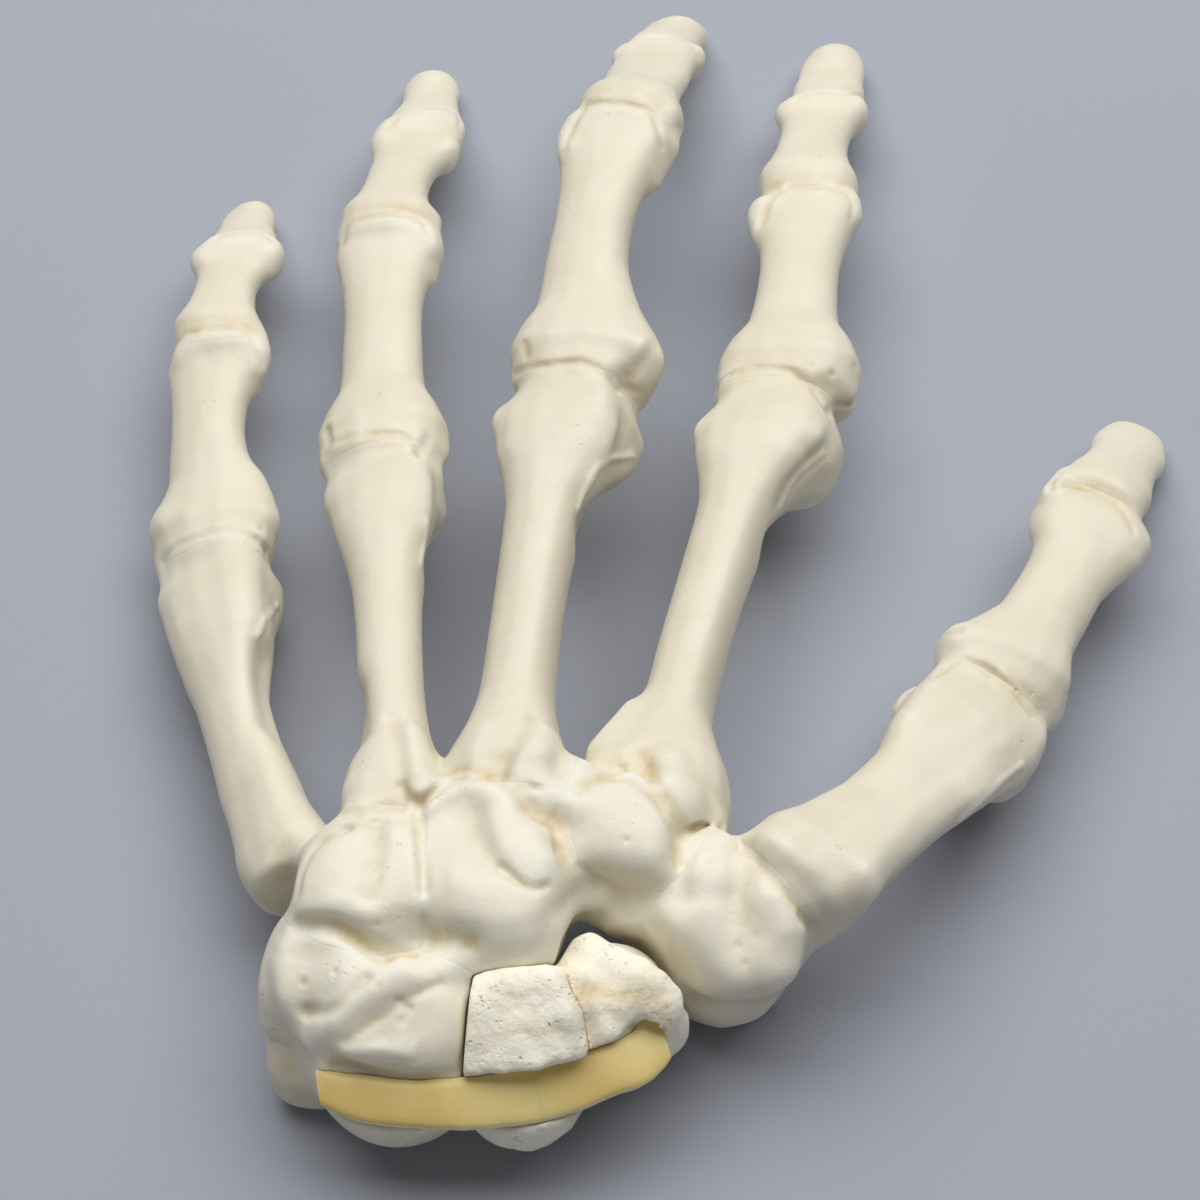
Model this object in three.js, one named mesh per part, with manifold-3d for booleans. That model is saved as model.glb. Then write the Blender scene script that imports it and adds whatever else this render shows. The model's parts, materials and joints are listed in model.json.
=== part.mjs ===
// A left hand's bones as a teaching model with a broken scaphoid: cast foam bones and one rubber strap.
// Millimetres. +Z is up from the table, +Y runs from the wrist to the fingertips, +X points to the thumb.
// The back of the hand faces up. The model rests on the heel of the hand and on the fingertips.

import * as THREE from "three";
import { mergeVertices } from "three/addons/utils/BufferGeometryUtils.js";
import Module from "manifold-3d";

const wasm = await Module();
wasm.setup();

// Clearances and the fineness of the surfaces
const seatGap = 0.3; // between two bones that are bonded or that touch
const looseGap = 1.8; // between the loose end of the scaphoid and the bone that it stops against
const boneSides = 14; // facets round a long bone
const ringSpacing = 3.6; // along a long bone
const capRings = 3; // rings of a rounded end

// Colours
const castCream = new THREE.MeshStandardMaterial({ color: 0xe9dec6, roughness: 0.5 });
const castWhite = new THREE.MeshStandardMaterial({ color: 0xece6d8, roughness: 0.45 });
const brokenFoam = new THREE.MeshStandardMaterial({ color: 0xf1ead8, roughness: 0.9 });
const strapRubber = new THREE.MeshStandardMaterial({ color: 0xd9c381, roughness: 0.35 });

const degrees = THREE.MathUtils.degToRad;

// Lengths of the long bones, from joint to joint
const thumbMetacarpalLength = 43.4;
const thumbProximalLength = 32.6;
const thumbDistalLength = 22.4;
const indexMetacarpalLength = 68.3;
const indexProximalLength = 36.6;
const indexMiddleLength = 22.5;
const indexDistalLength = 17;
const middleMetacarpalLength = 66.2;
const middleProximalLength = 42.8;
const middleMiddleLength = 26.1;
const middleDistalLength = 18.4;
const ringMetacarpalLength = 59.1;
const ringProximalLength = 37.9;
const ringMiddleLength = 26;
const ringDistalLength = 18.6;
const littleMetacarpalLength = 54;
const littleProximalLength = 31.8;
const littleMiddleLength = 18.9;
const littleDistalLength = 16;

// Long bones: each has its length between joints, its bearing (azimuth from +Y towards the thumb, pitch up
// from level, roll of its back towards the thumb), [width, depth] at the base, the waist and the head, and
// how far the shaft sits off the line between its joints, towards the thumb. A metacarpal also has the
// height of the condyles on the palm side of its head. A finger bone can have spurs on its sides, as lumps.
const rays = {
  thumb: {
    start: [32, -6, 17],
    bones: {
      metacarpal: {
        length: thumbMetacarpalLength, azimuth: 32.8, pitch: -9.5, roll: 8,
        base: [15.6, 14], waist: [11.4, 9], head: [16.2, 13], lean: 1.6, condyles: 2.3,
      },
      proximal: {
        length: thumbProximalLength, azimuth: 19, pitch: 0.5, roll: 8,
        base: [15.8, 12], waist: [10.2, 7.5], head: [14.8, 9], lean: 0.6,
        spurs: [[4, 180, 1.8, 4], [25, 0, 1.8, 3.6]],
      },
      distal: {
        length: thumbDistalLength, azimuth: 14.6, pitch: -25, roll: 8,
        base: [12.2, 8], waist: [9.2, 6], head: [10.4, 5], lean: 0.3,
      },
    },
  },
  index: {
    start: [16.4, 2.7, 15],
    bones: {
      metacarpal: {
        length: indexMetacarpalLength, azimuth: 8.1, pitch: -0.7, roll: -12,
        base: [17.5, 14], waist: [8.4, 8.6], head: [16.8, 15.5], lean: -1.6, condyles: 2.6,
      },
      proximal: {
        length: indexProximalLength, azimuth: -0.3, pitch: -5, roll: -10,
        base: [18.6, 12.5], waist: [10.6, 7.4], head: [14.4, 9], lean: 0,
        spurs: [[33, 180, 0.9, 3]],
      },
      middle: {
        length: indexMiddleLength, azimuth: 2.5, pitch: -12, roll: -6,
        base: [13.8, 9.5], waist: [9.6, 6], head: [12.4, 6.8], lean: -0.7,
      },
      distal: {
        length: indexDistalLength, azimuth: 1.5, pitch: -18.6, roll: -4,
        base: [11, 6.6], waist: [9.2, 5], head: [9, 4.4], lean: -0.2,
      },
    },
  },
  middle: {
    start: [0, 0, 18.2],
    bones: {
      metacarpal: {
        length: middleMetacarpalLength, azimuth: 0, pitch: -0.5, roll: -12,
        base: [14.8, 15], waist: [8.6, 9], head: [16.6, 15.5], lean: -1.3, condyles: 2.2,
      },
      proximal: {
        length: middleProximalLength, azimuth: 1.6, pitch: 4, roll: -12,
        base: [17.6, 13], waist: [10.5, 7.6], head: [14.9, 9.2], lean: -1.4,
        spurs: [[5, 0, 2.2, 4], [11, 0, 1.8, 3.4]],
      },
      middle: {
        length: middleMiddleLength, azimuth: 5.4, pitch: -24, roll: -8,
        base: [13.8, 10], waist: [11.4, 6.2], head: [13, 7], lean: 0.7,
      },
      distal: {
        length: middleDistalLength, azimuth: 5, pitch: -32, roll: -6,
        base: [10.6, 6.8], waist: [9, 4.8], head: [9.4, 4.4], lean: 0.3,
      },
    },
  },
  ring: {
    start: [-12.4, -3.7, 17.9],
    bones: {
      metacarpal: {
        length: ringMetacarpalLength, azimuth: -10, pitch: -3.9, roll: -14,
        base: [12.2, 12.5], waist: [7.9, 7.8], head: [13.9, 14], lean: 0.2, condyles: 0.6,
      },
      proximal: {
        length: ringProximalLength, azimuth: -7.8, pitch: -0.8, roll: -12,
        base: [16.8, 12], waist: [10.3, 7.2], head: [13.8, 8.6], lean: -0.2,
      },
      middle: {
        length: ringMiddleLength, azimuth: 1.5, pitch: -14, roll: -8,
        base: [13.2, 9.2], waist: [8.8, 5.8], head: [11.8, 6.6], lean: -0.6,
        spurs: [[19, 0, 1.5, 3]],
      },
      distal: {
        length: ringDistalLength, azimuth: -4, pitch: -22, roll: -6,
        base: [10.6, 6.4], waist: [7.8, 4.6], head: [7.8, 4.2], lean: 0.5,
      },
    },
  },
  little: {
    start: [-23.1, -8.3, 11.6],
    bones: {
      metacarpal: {
        length: littleMetacarpalLength, azimuth: -20.6, pitch: -4.7, roll: -18,
        base: [12.2, 12], waist: [9.2, 7.6], head: [14.2, 13], lean: -2.2, condyles: 1.2,
      },
      proximal: {
        length: littleProximalLength, azimuth: -9, pitch: 5, roll: -14,
        base: [16, 11], waist: [9.7, 6.4], head: [12.8, 7.6], lean: -1.1,
        spurs: [[9, 0, 1.5, 3.4]],
      },
      middle: {
        length: littleMiddleLength, azimuth: 0, pitch: -6, roll: -8,
        base: [12.4, 8.2], waist: [8.4, 5.4], head: [12, 6], lean: -0.8,
      },
      distal: {
        length: littleDistalLength, azimuth: -7, pitch: -28, roll: -6,
        base: [9.8, 6], waist: [7.6, 4.4], head: [7.2, 4], lean: -0.4,
      },
    },
  },
};

// Carpal bones: the middle of each, its half sizes along X, Y and Z, and its turn about Z, X and Y. A lump
// [x, y, z, height, radius] swells it, where x, y, z is the way from the middle to the lump.
const carpals = {
  capitate: { at: [-0.6, -9.6, 17], half: [8.6, 12, 8.8], turn: [0, 0, 0] },
  hamate: { at: [-14.2, -12.4, 16], half: [8.2, 9.8, 9], turn: [0, 0, -10] },
  trapezoid: {
    at: [13.4, -1.2, 16], half: [7.6, 8, 8.6], turn: [0, 0, 0],
    lumps: [[0.7, -1, -0.3, 2.2, 4]],
  },
  trapezium: {
    at: [26.2, -8.6, 10], half: [8.6, 9, 10.4], turn: [-20, 0, 0],
    lumps: [[-0.6, 0.3, 1, 1.6, 3], [-1, -0.4, 0.6, 2.6, 4]],
  },
  triquetrum: { at: [-17.6, -21.8, 11.5], half: [7.6, 7.8, 8.8], turn: [0, 0, -10] },
  pisiform: { at: [-19, -25.4, 5.4], half: [5.4, 6.6, 5.8], turn: [0, 0, 0] },
  lunate: {
    at: [-9, -27.6, 11.4], half: [9.2, 9.4, 9.4], turn: [0, 25, 0],
    lumps: [[0, -1, -0.1, 2, 4.5]],
  },
  scaphoid_proximal: {
    at: [5, -27, 11.4], half: [7.6, 8.6, 9], turn: [0, 25, 0],
    lumps: [[0, -1, -0.1, 2.4, 4.2]],
  },
  scaphoid_distal: { at: [14.8, -20, 11], half: [7, 7.2, 8.4], turn: [-30, 20, 0] },
};

// The thumb's sesamoid: its half sizes, and its place from the end of the thumb's metacarpal, in its frame
const sesamoid = { half: [2.3, 3.2, 2.4], offset: [-7.1, -5.5, -6.05] };

// Neighbouring wrist bones, parted by a flat seat, and how wide the gap is where it isn't a seat's
const carpalNeighbours = [
  ["capitate", "hamate"],
  ["capitate", "trapezoid"],
  ["capitate", "lunate"],
  ["capitate", "scaphoid_proximal"],
  ["hamate", "triquetrum"],
  ["hamate", "lunate"],
  ["triquetrum", "lunate"],
  ["triquetrum", "pisiform"],
  ["lunate", "pisiform"],
  ["lunate", "scaphoid_proximal"],
  ["scaphoid_proximal", "scaphoid_distal"],
  ["scaphoid_distal", "trapezium", looseGap],
  ["scaphoid_distal", "trapezoid"],
  ["trapezoid", "trapezium"],
];
// Which wrist bones the foot of each metacarpal meets
const raySeats = {
  thumb: ["trapezium"],
  index: ["trapezoid", "trapezium", "capitate"],
  middle: ["capitate"],
  ring: ["capitate", "hamate"],
  little: ["hamate", "triquetrum"],
};

// The strap over the break: the lower edge of its outer side in plan, its height there, its width and lean
const strapPath = [
  [-16.2, -37.2],
  [-12.5, -38.4],
  [-6, -38.7],
  [2, -37.6],
  [10, -35.2],
  [16.6, -32.2],
  [21, -26.5],
];
const strapFoot = 12.5;
const strapWidth = 5.2;
const strapLean = 45; // from upright, back over the bones
const strapThickness = 1.8;
const strapBedDepth = 8; // how far outside the strap its bed in the bones is cleared
const strapSteps = 18;

// A value that runs smoothly through the rows [y, value, value...] of a bone's sections.
function sectionAt(rows, y) {
  const last = rows.length - 1;
  const i = Math.min(last - 1, Math.max(0, rows.findIndex((row) => row[0] > y) - 1));
  const k = rows[last][0] <= y ? last - 1 : i;
  const [a, b] = [rows[k], rows[k + 1]];
  const before = rows[Math.max(0, k - 1)];
  const after = rows[Math.min(last, k + 2)];
  const span = b[0] - a[0];
  const t = Math.min(1, Math.max(0, (y - a[0]) / span));
  return a.slice(1).map((value, n) => {
    const slopeIn = k > 0 ? ((b[n + 1] - before[n + 1]) / (b[0] - before[0])) * span : 0;
    const slopeOut = k + 2 <= last ? ((after[n + 1] - a[n + 1]) / (after[0] - a[0])) * span : 0;
    const t2 = t * t;
    const t3 = t2 * t;
    const held = (2 * t3 - 3 * t2 + 1) * value + (3 * t2 - 2 * t3) * b[n + 1];
    return held + (t3 - 2 * t2 + t) * slopeIn + (t3 - t2) * slopeOut;
  });
}

// A sphere's vertices without seams, for shapes that are a sphere drawn out.
function bareSphere(geometry) {
  geometry.deleteAttribute("normal");
  geometry.deleteAttribute("uv");
  return mergeVertices(geometry, 1e-4);
}

// A long bone: a sphere drawn out along +Y through its sections [y, right, left, up, down, squareness].
// Each end is a dome. A lump [y, angle, height, radius] swells the surface, angle 0 is right and 90 is up.
function boneGeometry({ sections, domes, bow, lumps = [] }, grow = 0) {
  const [firstY, lastY] = [sections[0][0], sections[sections.length - 1][0]];
  const steps = Math.max(4, Math.round((lastY - firstY) / ringSpacing));
  const rows = [];
  for (let i = capRings; i > 0; i--) rows.push({ y: lastY, cap: domes[1] + grow, part: i / capRings });
  for (let i = 0; i <= steps; i++) rows.push({ y: lastY + ((firstY - lastY) * i) / steps, cap: 0, part: 0 });
  for (let i = 1; i <= capRings; i++) rows.push({ y: firstY, cap: -domes[0] - grow, part: i / capRings });
  const length = lastY - firstY;
  const pointAt = (row, angle) => {
    const [right, left, up, down, squareness] = sectionAt(sections, row.y);
    const shrink = Math.cos((row.part * Math.PI) / 2);
    const power = 2 / squareness;
    const [c, s] = [Math.cos(angle), Math.sin(angle)];
    const x = ((c > 0 ? right : left) + grow) * Math.sign(c) * Math.abs(c) ** power * shrink;
    const z = ((s > 0 ? up : down) + grow) * Math.sign(s) * Math.abs(s) ** power * shrink;
    const y = row.y + row.cap * Math.sin((row.part * Math.PI) / 2);
    const along = (y - firstY) / length;
    return new THREE.Vector3(x, y, z + bow * 4 * along * (1 - along));
  };
  const swellings = lumps.map(([y, angle, height, radius]) => {
    const turn = degrees(angle);
    const row = { y: Math.min(lastY, Math.max(firstY, y)), cap: 0, part: 0 };
    const centre = pointAt(row, turn);
    centre.y = y;
    const push = new THREE.Vector3(Math.cos(turn), 0, Math.sin(turn)).multiplyScalar(height);
    return { centre, push, radius };
  });
  const geometry = bareSphere(new THREE.SphereGeometry(1, boneSides, rows.length - 1));
  const position = geometry.getAttribute("position");
  const vertex = new THREE.Vector3();
  for (let i = 0; i < position.count; i++) {
    vertex.fromBufferAttribute(position, i);
    const fromTop = Math.acos(THREE.MathUtils.clamp(vertex.y, -1, 1)) / Math.PI;
    const row = rows[Math.round(fromTop * (rows.length - 1))];
    const point = pointAt(row, Math.atan2(vertex.z, vertex.x));
    const moved = point.clone();
    for (const { centre, push, radius } of swellings) {
      moved.addScaledVector(push, Math.exp(-point.distanceToSquared(centre) / (2 * radius * radius)));
    }
    position.setXYZ(i, moved.x, moved.y, moved.z);
  }
  return geometry;
}

// How far a boxy unit sphere reaches in a direction
const pebbleSquareness = 3;
function boxyReach(x, y, z) {
  const power = pebbleSquareness;
  return (Math.abs(x) ** power + Math.abs(y) ** power + Math.abs(z) ** power) ** (-1 / power);
}

// A carpal bone: a boxy sphere with half sizes, and lumps on it.
function pebbleGeometry({ half, lumps = [] }, grow = 0) {
  const geometry = bareSphere(new THREE.IcosahedronGeometry(1, 4));
  const position = geometry.getAttribute("position");
  const size = new THREE.Vector3(...half).addScalar(grow);
  const surface = (way) => way.clone().multiplyScalar(boxyReach(...way)).multiply(size);
  const swellings = lumps.map(([x, y, z, height, radius]) => {
    const way = new THREE.Vector3(x, y, z).normalize();
    return { centre: surface(way), push: way.clone().multiplyScalar(height), radius };
  });
  const vertex = new THREE.Vector3();
  for (let i = 0; i < position.count; i++) {
    const point = surface(vertex.fromBufferAttribute(position, i).normalize());
    const moved = point.clone();
    for (const { centre, push, radius } of swellings) {
      moved.addScaledVector(push, Math.exp(-point.distanceToSquared(centre) / (2 * radius * radius)));
    }
    position.setXYZ(i, moved.x, moved.y, moved.z);
  }
  return geometry;
}

// Sections of the kinds of long bone, from their driving sizes: [y, across, deep, squareness] turned into
// [y, right, left, up, down, squareness], with the shaft moved sideways by its lean.
function sectionsFrom(rows, { length, lean }) {
  return rows.map(([y, across, up, down, squareness]) => {
    const aside = lean * Math.sin(Math.PI * THREE.MathUtils.clamp(y / length, 0, 1)) ** 0.8;
    return [y, across / 2 + aside, across / 2 - aside, up / 2, down / 2, squareness];
  });
}

// On a metacarpal's head: how far back from its end the lumps sit, their angle from sideways and their spread
const condyleSetback = 7.6;
const condyleAngle = 38; // down, to the palm side
const condyleSpread = 3;
const tubercleSetback = 14;
const tubercleAngle = 32; // up, to the back of the hand
const tubercleSpread = 3;
const tubercleShare = 0.05; // its height, as a share of the head's width

function metacarpalShape(bone) {
  const { length, condyles, base: [bw, bd], waist: [ww, wd], head: [hw, hd] } = bone;
  const crown = hd * 0.46; // the round end of the head
  const sections = sectionsFrom([
    [0, bw * 0.92, bd * 0.92, bd * 0.92, 2.6],
    [4, bw, bd, bd, 2.7],
    [8.5, bw * 0.84, bd * 0.86, bd * 0.86, 2.5],
    [14, ww * 1.08, wd * 1.14, wd * 1.18, 2.3],
    [length * 0.36, ww, wd, wd, 2.2],
    [length * 0.56, ww * 1.05, wd, wd * 1.02, 2.2],
    [length - 20, ww * 1.2, hd * 0.66, hd * 0.76, 2.3],
    [length - 13.5, hw * 0.84, hd * 0.78, hd * 0.92, 2.5],
    [length - 9, hw * 0.98, hd * 0.84, hd * 1.04, 2.5],
    [length - crown, hw, hd * 0.82, hd, 2.4],
  ], bone);
  const lumps = [
    [length - condyleSetback, -condyleAngle, condyles, condyleSpread],
    [length - condyleSetback, condyleAngle - 180, condyles, condyleSpread],
    [length - tubercleSetback, tubercleAngle, hw * tubercleShare, tubercleSpread],
    [length - tubercleSetback, 180 - tubercleAngle, hw * tubercleShare, tubercleSpread],
  ];
  return { sections, domes: [1.5, crown], bow: 1.5, lumps };
}

function phalanxShape(bone) {
  const { length, base: [bw, bd], waist: [ww, wd], head: [hw, hd], spurs = [] } = bone;
  const crown = hd * 0.42;
  const sections = sectionsFrom([
    [-0.6, bw * 0.88, bd * 0.86, bd * 0.92, 2.3],
    [1.8, bw, bd * 0.97, bd, 2.4],
    [bw * 0.3, bw * 0.95, bd * 0.9, bd * 0.94, 2.4],
    [bw * 0.55, bw * 0.4 + ww * 0.45, bd * 0.36 + wd * 0.5, bd * 0.36 + wd * 0.5, 2.4],
    [length * 0.44, ww * 1.02, wd, wd * 0.9, 2.3],
    [length * 0.62, ww, wd * 0.96, wd * 0.86, 2.2],
    [length * 0.8, hw * 0.86, hd * 0.8, hd * 0.85, 2.4],
    [length - crown, hw, hd * 0.82, hd, 2.6],
  ], bone);
  return { sections, domes: [1, crown], bow: 0.9, lumps: spurs };
}

function fingertipShape(bone) {
  const { length, base: [bw, bd], waist: [ww, wd], head: [hw, hd] } = bone;
  const tip = hd * 0.6;
  const sections = sectionsFrom([
    [-0.4, bw * 0.88, bd * 0.86, bd * 0.92, 2.3],
    [1.5, bw, bd * 0.96, bd, 2.4],
    [length * 0.26, bw * 0.88, bd * 0.85, bd * 0.88, 2.3],
    [length * 0.48, ww, wd, wd, 2.2],
    [length * 0.72, hw, hd, hd * 1.1, 2.3],
    [length - tip, hw * 0.82, hd * 0.9, hd, 2.3],
  ], bone);
  return { sections, domes: [0.8, tip], bow: 0, lumps: [] };
}

const shapeOf = {
  metacarpal: metacarpalShape,
  proximal: phalanxShape,
  middle: phalanxShape,
  distal: fingertipShape,
};

// Solids to cut and join. Each piece keeps its own frame and its place in the hand.
function solidOf(geometry) {
  const triVerts = new Uint32Array(geometry.index.array);
  const vertProperties = new Float32Array(geometry.getAttribute("position").array);
  return new wasm.Manifold(new wasm.Mesh({ numProp: 3, vertProperties, triVerts }));
}

function geometryOf(solid) {
  const mesh = solid.getMesh();
  const vertices = new Float32Array(mesh.numVert * 3);
  for (let i = 0; i < mesh.numVert; i++) {
    vertices.set(mesh.vertProperties.subarray(i * mesh.numProp, i * mesh.numProp + 3), i * 3);
  }
  const geometry = new THREE.BufferGeometry();
  geometry.setAttribute("position", new THREE.BufferAttribute(vertices, 3));
  geometry.setIndex(new THREE.BufferAttribute(mesh.triVerts, 1));
  return geometry;
}

const pieces = new Map();
function addPiece(name, material, place, makeGeometry) {
  place.updateMatrix();
  const matrix = place.matrix.clone();
  pieces.set(name, { material, place, matrix, makeGeometry, solid: solidOf(makeGeometry(0)) });
}

// Keeps only what lies on one side of a plane through a point.
function trim(name, point, facing) {
  const piece = pieces.get(name);
  const inverse = piece.matrix.clone().invert();
  const normal = facing.clone().transformDirection(inverse);
  const origin = point.clone().applyMatrix4(inverse);
  piece.solid = piece.solid.trimByPlane(normal.toArray(), origin.dot(normal));
}

// Parts two neighbours with a flat seat at a point, square to the way from the first to the second.
function partNeighbours(first, second, point, way, gap = seatGap) {
  const unit = way.clone().normalize();
  trim(first, point.clone().addScaledVector(unit, -gap / 2), unit.clone().negate());
  trim(second, point.clone().addScaledVector(unit, gap / 2), unit);
}

// Takes a neighbour, grown by the seat gap, out of a piece, so that the piece is seated on it.
function seatOn(name, neighbourName) {
  const piece = pieces.get(name);
  const neighbour = pieces.get(neighbourName);
  const intoPiece = piece.matrix.clone().invert().multiply(neighbour.matrix);
  const tool = solidOf(neighbour.makeGeometry(seatGap)).transform(intoPiece.elements);
  piece.solid = piece.solid.subtract(tool);
}

const boneName = (ray, kind) => (kind === "metacarpal" ? ray + "_metacarpal" : ray + "_" + kind + "_phalanx");

// Long bones, laid end to end along each ray
for (const [ray, { start, bones }] of Object.entries(rays)) {
  const end = new THREE.Vector3(...start);
  for (const [kind, bone] of Object.entries(bones)) {
    const place = new THREE.Object3D();
    place.position.copy(end);
    place.rotation.set(degrees(bone.pitch), degrees(bone.roll), degrees(-bone.azimuth), "ZXY");
    const shape = shapeOf[kind](bone);
    const name = boneName(ray, kind);
    addPiece(name, castCream, place, (grow) => boneGeometry(shape, grow));
    end.add(new THREE.Vector3(0, bone.length, 0).applyEuler(place.rotation));
  }
}

const brokenBones = ["scaphoid_proximal", "scaphoid_distal"];
for (const [name, bone] of Object.entries(carpals)) {
  const place = new THREE.Object3D();
  place.position.set(...bone.at);
  place.rotation.set(degrees(bone.turn[1]), degrees(bone.turn[2]), degrees(bone.turn[0]), "ZXY");
  const material = brokenBones.includes(name) ? brokenFoam : castWhite;
  addPiece(name, material, place, (grow) => pebbleGeometry(bone, grow));
}

// How far a carpal bone reaches from its middle in a direction
function reachOf(name, way) {
  const { matrix } = pieces.get(name);
  const local = way.clone().transformDirection(matrix.clone().invert());
  return boxyReach(...local.divide(new THREE.Vector3(...carpals[name].half)));
}

function seatBetween(first, second) {
  const [a, b] = [first, second].map((name) => pieces.get(name).place.position);
  const way = b.clone().sub(a);
  const reach = reachOf(first, way);
  const share = reach / (reach + reachOf(second, way.clone().negate()));
  return [a.clone().addScaledVector(way, share), way];
}
for (const [first, second, gap] of carpalNeighbours) {
  partNeighbours(first, second, ...seatBetween(first, second), gap);
}

const bearing = (place) => new THREE.Vector3(0, 1, 0).applyQuaternion(place.quaternion);
for (const [ray, names] of Object.entries(raySeats)) {
  const metacarpal = boneName(ray, "metacarpal");
  const { place } = pieces.get(metacarpal);
  const along = bearing(place);
  for (const name of names) {
    trim(name, place.position.clone().addScaledVector(along, -seatGap / 2), along.clone().negate());
  }
  trim(metacarpal, place.position.clone().addScaledVector(along, seatGap / 2), along);
}

seatOn("middle_metacarpal", "trapezoid");

// The feet of neighbouring metacarpals are parted half way between them
const fingerRays = ["index", "middle", "ring", "little"];
fingerRays.slice(1).forEach((ray, i) => {
  const names = [fingerRays[i], ray].map((finger) => boneName(finger, "metacarpal"));
  const [inner, outer] = names.map((name) => pieces.get(name).place);
  const middleWay = bearing(inner).add(bearing(outer)).setZ(0).normalize();
  const across = outer.position.clone().sub(inner.position).setZ(0);
  across.addScaledVector(middleWay, -across.dot(middleWay));
  const widths = [fingerRays[i], ray].map((name) => rays[name].bones.metacarpal.base[0]);
  const point = inner.position.clone().addScaledVector(across, widths[0] / (widths[0] + widths[1]));
  partNeighbours(...names, point, across);
});

// Each finger bone is hollowed to sit on the round head of the bone before it
for (const [ray, { bones }] of Object.entries(rays)) {
  const names = Object.keys(bones).map((kind) => boneName(ray, kind));
  names.slice(1).forEach((name, i) => seatOn(name, names[i]));
}

// The strap: a ribbon bent along the outer side of the lunate and the two scaphoid pieces
const strapCurve = new THREE.CatmullRomCurve3(strapPath.map(([x, y]) => new THREE.Vector3(x, y, strapFoot)));
const upward = new THREE.Vector3(0, 0, 1);
function strapFrame(part) {
  const foot = strapCurve.getPointAt(part);
  const ahead = strapCurve.getTangentAt(part);
  const inward = upward.clone().cross(ahead);
  const lean = degrees(strapLean);
  const across = upward.clone().multiplyScalar(Math.cos(lean)).addScaledVector(inward, Math.sin(lean));
  const down = inward.clone().multiplyScalar(Math.cos(lean)).addScaledVector(upward, -Math.sin(lean));
  return { foot, ahead, across, down };
}

// The ribbon from so far outside the strap's outer side to so far under its inner side
function strapGeometry(outside, under) {
  const geometry = bareSphere(new THREE.BoxGeometry(1, 1, 1, strapSteps, 1, 1));
  const position = geometry.getAttribute("position");
  for (let i = 0; i < position.count; i++) {
    const end = position.getX(i) * 2;
    const { foot, ahead, across, down } = strapFrame((end + 1) / 2);
    foot.addScaledVector(ahead, Math.trunc(end) * under);
    foot.addScaledVector(across, strapWidth / 2 + position.getY(i) * (strapWidth + 2 * under));
    foot.addScaledVector(down, position.getZ(i) > 0 ? -outside : strapThickness + under);
    position.setXYZ(i, foot.x, foot.y, foot.z);
  }
  return geometry;
}

const strapBones = ["lunate", ...brokenBones];
for (const bone of strapBones) {
  addPiece("strap_on_" + bone, strapRubber, new THREE.Object3D(), () => strapGeometry(0, 0));
}
// Its bed in the bones is cleared outwards, with the seat gap round it.
const strapBed = solidOf(strapGeometry(strapBedDepth, seatGap));
for (const bone of [...strapBones, "triquetrum"]) {
  const piece = pieces.get(bone);
  piece.solid = piece.solid.subtract(strapBed.transform(piece.matrix.clone().invert().elements));
}

// It is cut over each gap between the bones that it holds, where it bends like a hinge.
strapBones.slice(1).forEach((bone, i) => {
  const seat = seatBetween(strapBones[i], bone);
  const [before, after] = [strapBones.slice(0, i + 1), strapBones.slice(i + 1)];
  for (const first of before) {
    for (const second of after) partNeighbours("strap_on_" + first, "strap_on_" + second, ...seat);
  }
});

// The thumb's sesamoid sits against the head of its metacarpal and the foot of its first finger bone.
const thumbPlace = pieces.get("thumb_metacarpal").place;
const sesamoidPlace = new THREE.Object3D();
sesamoidPlace.position.set(...sesamoid.offset).add(new THREE.Vector3(0, thumbMetacarpalLength, 0));
sesamoidPlace.position.applyQuaternion(thumbPlace.quaternion).add(thumbPlace.position);
sesamoidPlace.rotation.copy(thumbPlace.rotation);
addPiece("thumb_sesamoid", castWhite, sesamoidPlace, (grow) => pebbleGeometry(sesamoid, grow));
seatOn("thumb_sesamoid", "thumb_metacarpal");
seatOn("thumb_sesamoid", "thumb_proximal_phalanx");

// Everything is cut flat where it meets the table.
for (const name of pieces.keys()) trim(name, new THREE.Vector3(), upward);

const hand = new THREE.Group();
for (const [name, { material, place, solid }] of pieces) {
  const mesh = new THREE.Mesh(geometryOf(solid), material);
  mesh.name = name;
  mesh.position.copy(place.position);
  mesh.rotation.copy(place.rotation);
  hand.add(mesh);
}

// The origin is at the middle of the model's outline on the table.
const box = new THREE.Box3().setFromObject(hand, true);
const middle = box.getCenter(new THREE.Vector3());
hand.position.set(-middle.x, -middle.y, -box.min.z);

export default hand;
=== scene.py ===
# %% [markdown]
# # A hand cast in foam, with a broken scaphoid
#
# The model is a left hand's bones, palm down, as surgeons practise on. The real one is poured: hard foam
# sets in a mould taken from a skeleton, so the joints come out closed, with soft furrows where one bone
# meets the next. Only the two halves of the broken scaphoid are loose, and a rubber strap holds them.
#
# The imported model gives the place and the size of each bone. Everything here is in its frame. Blender
# wants metres; bones are easier to think of in millimetres, so the sculpting below is in millimetres.

# %% The frame
import json
import math

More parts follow.
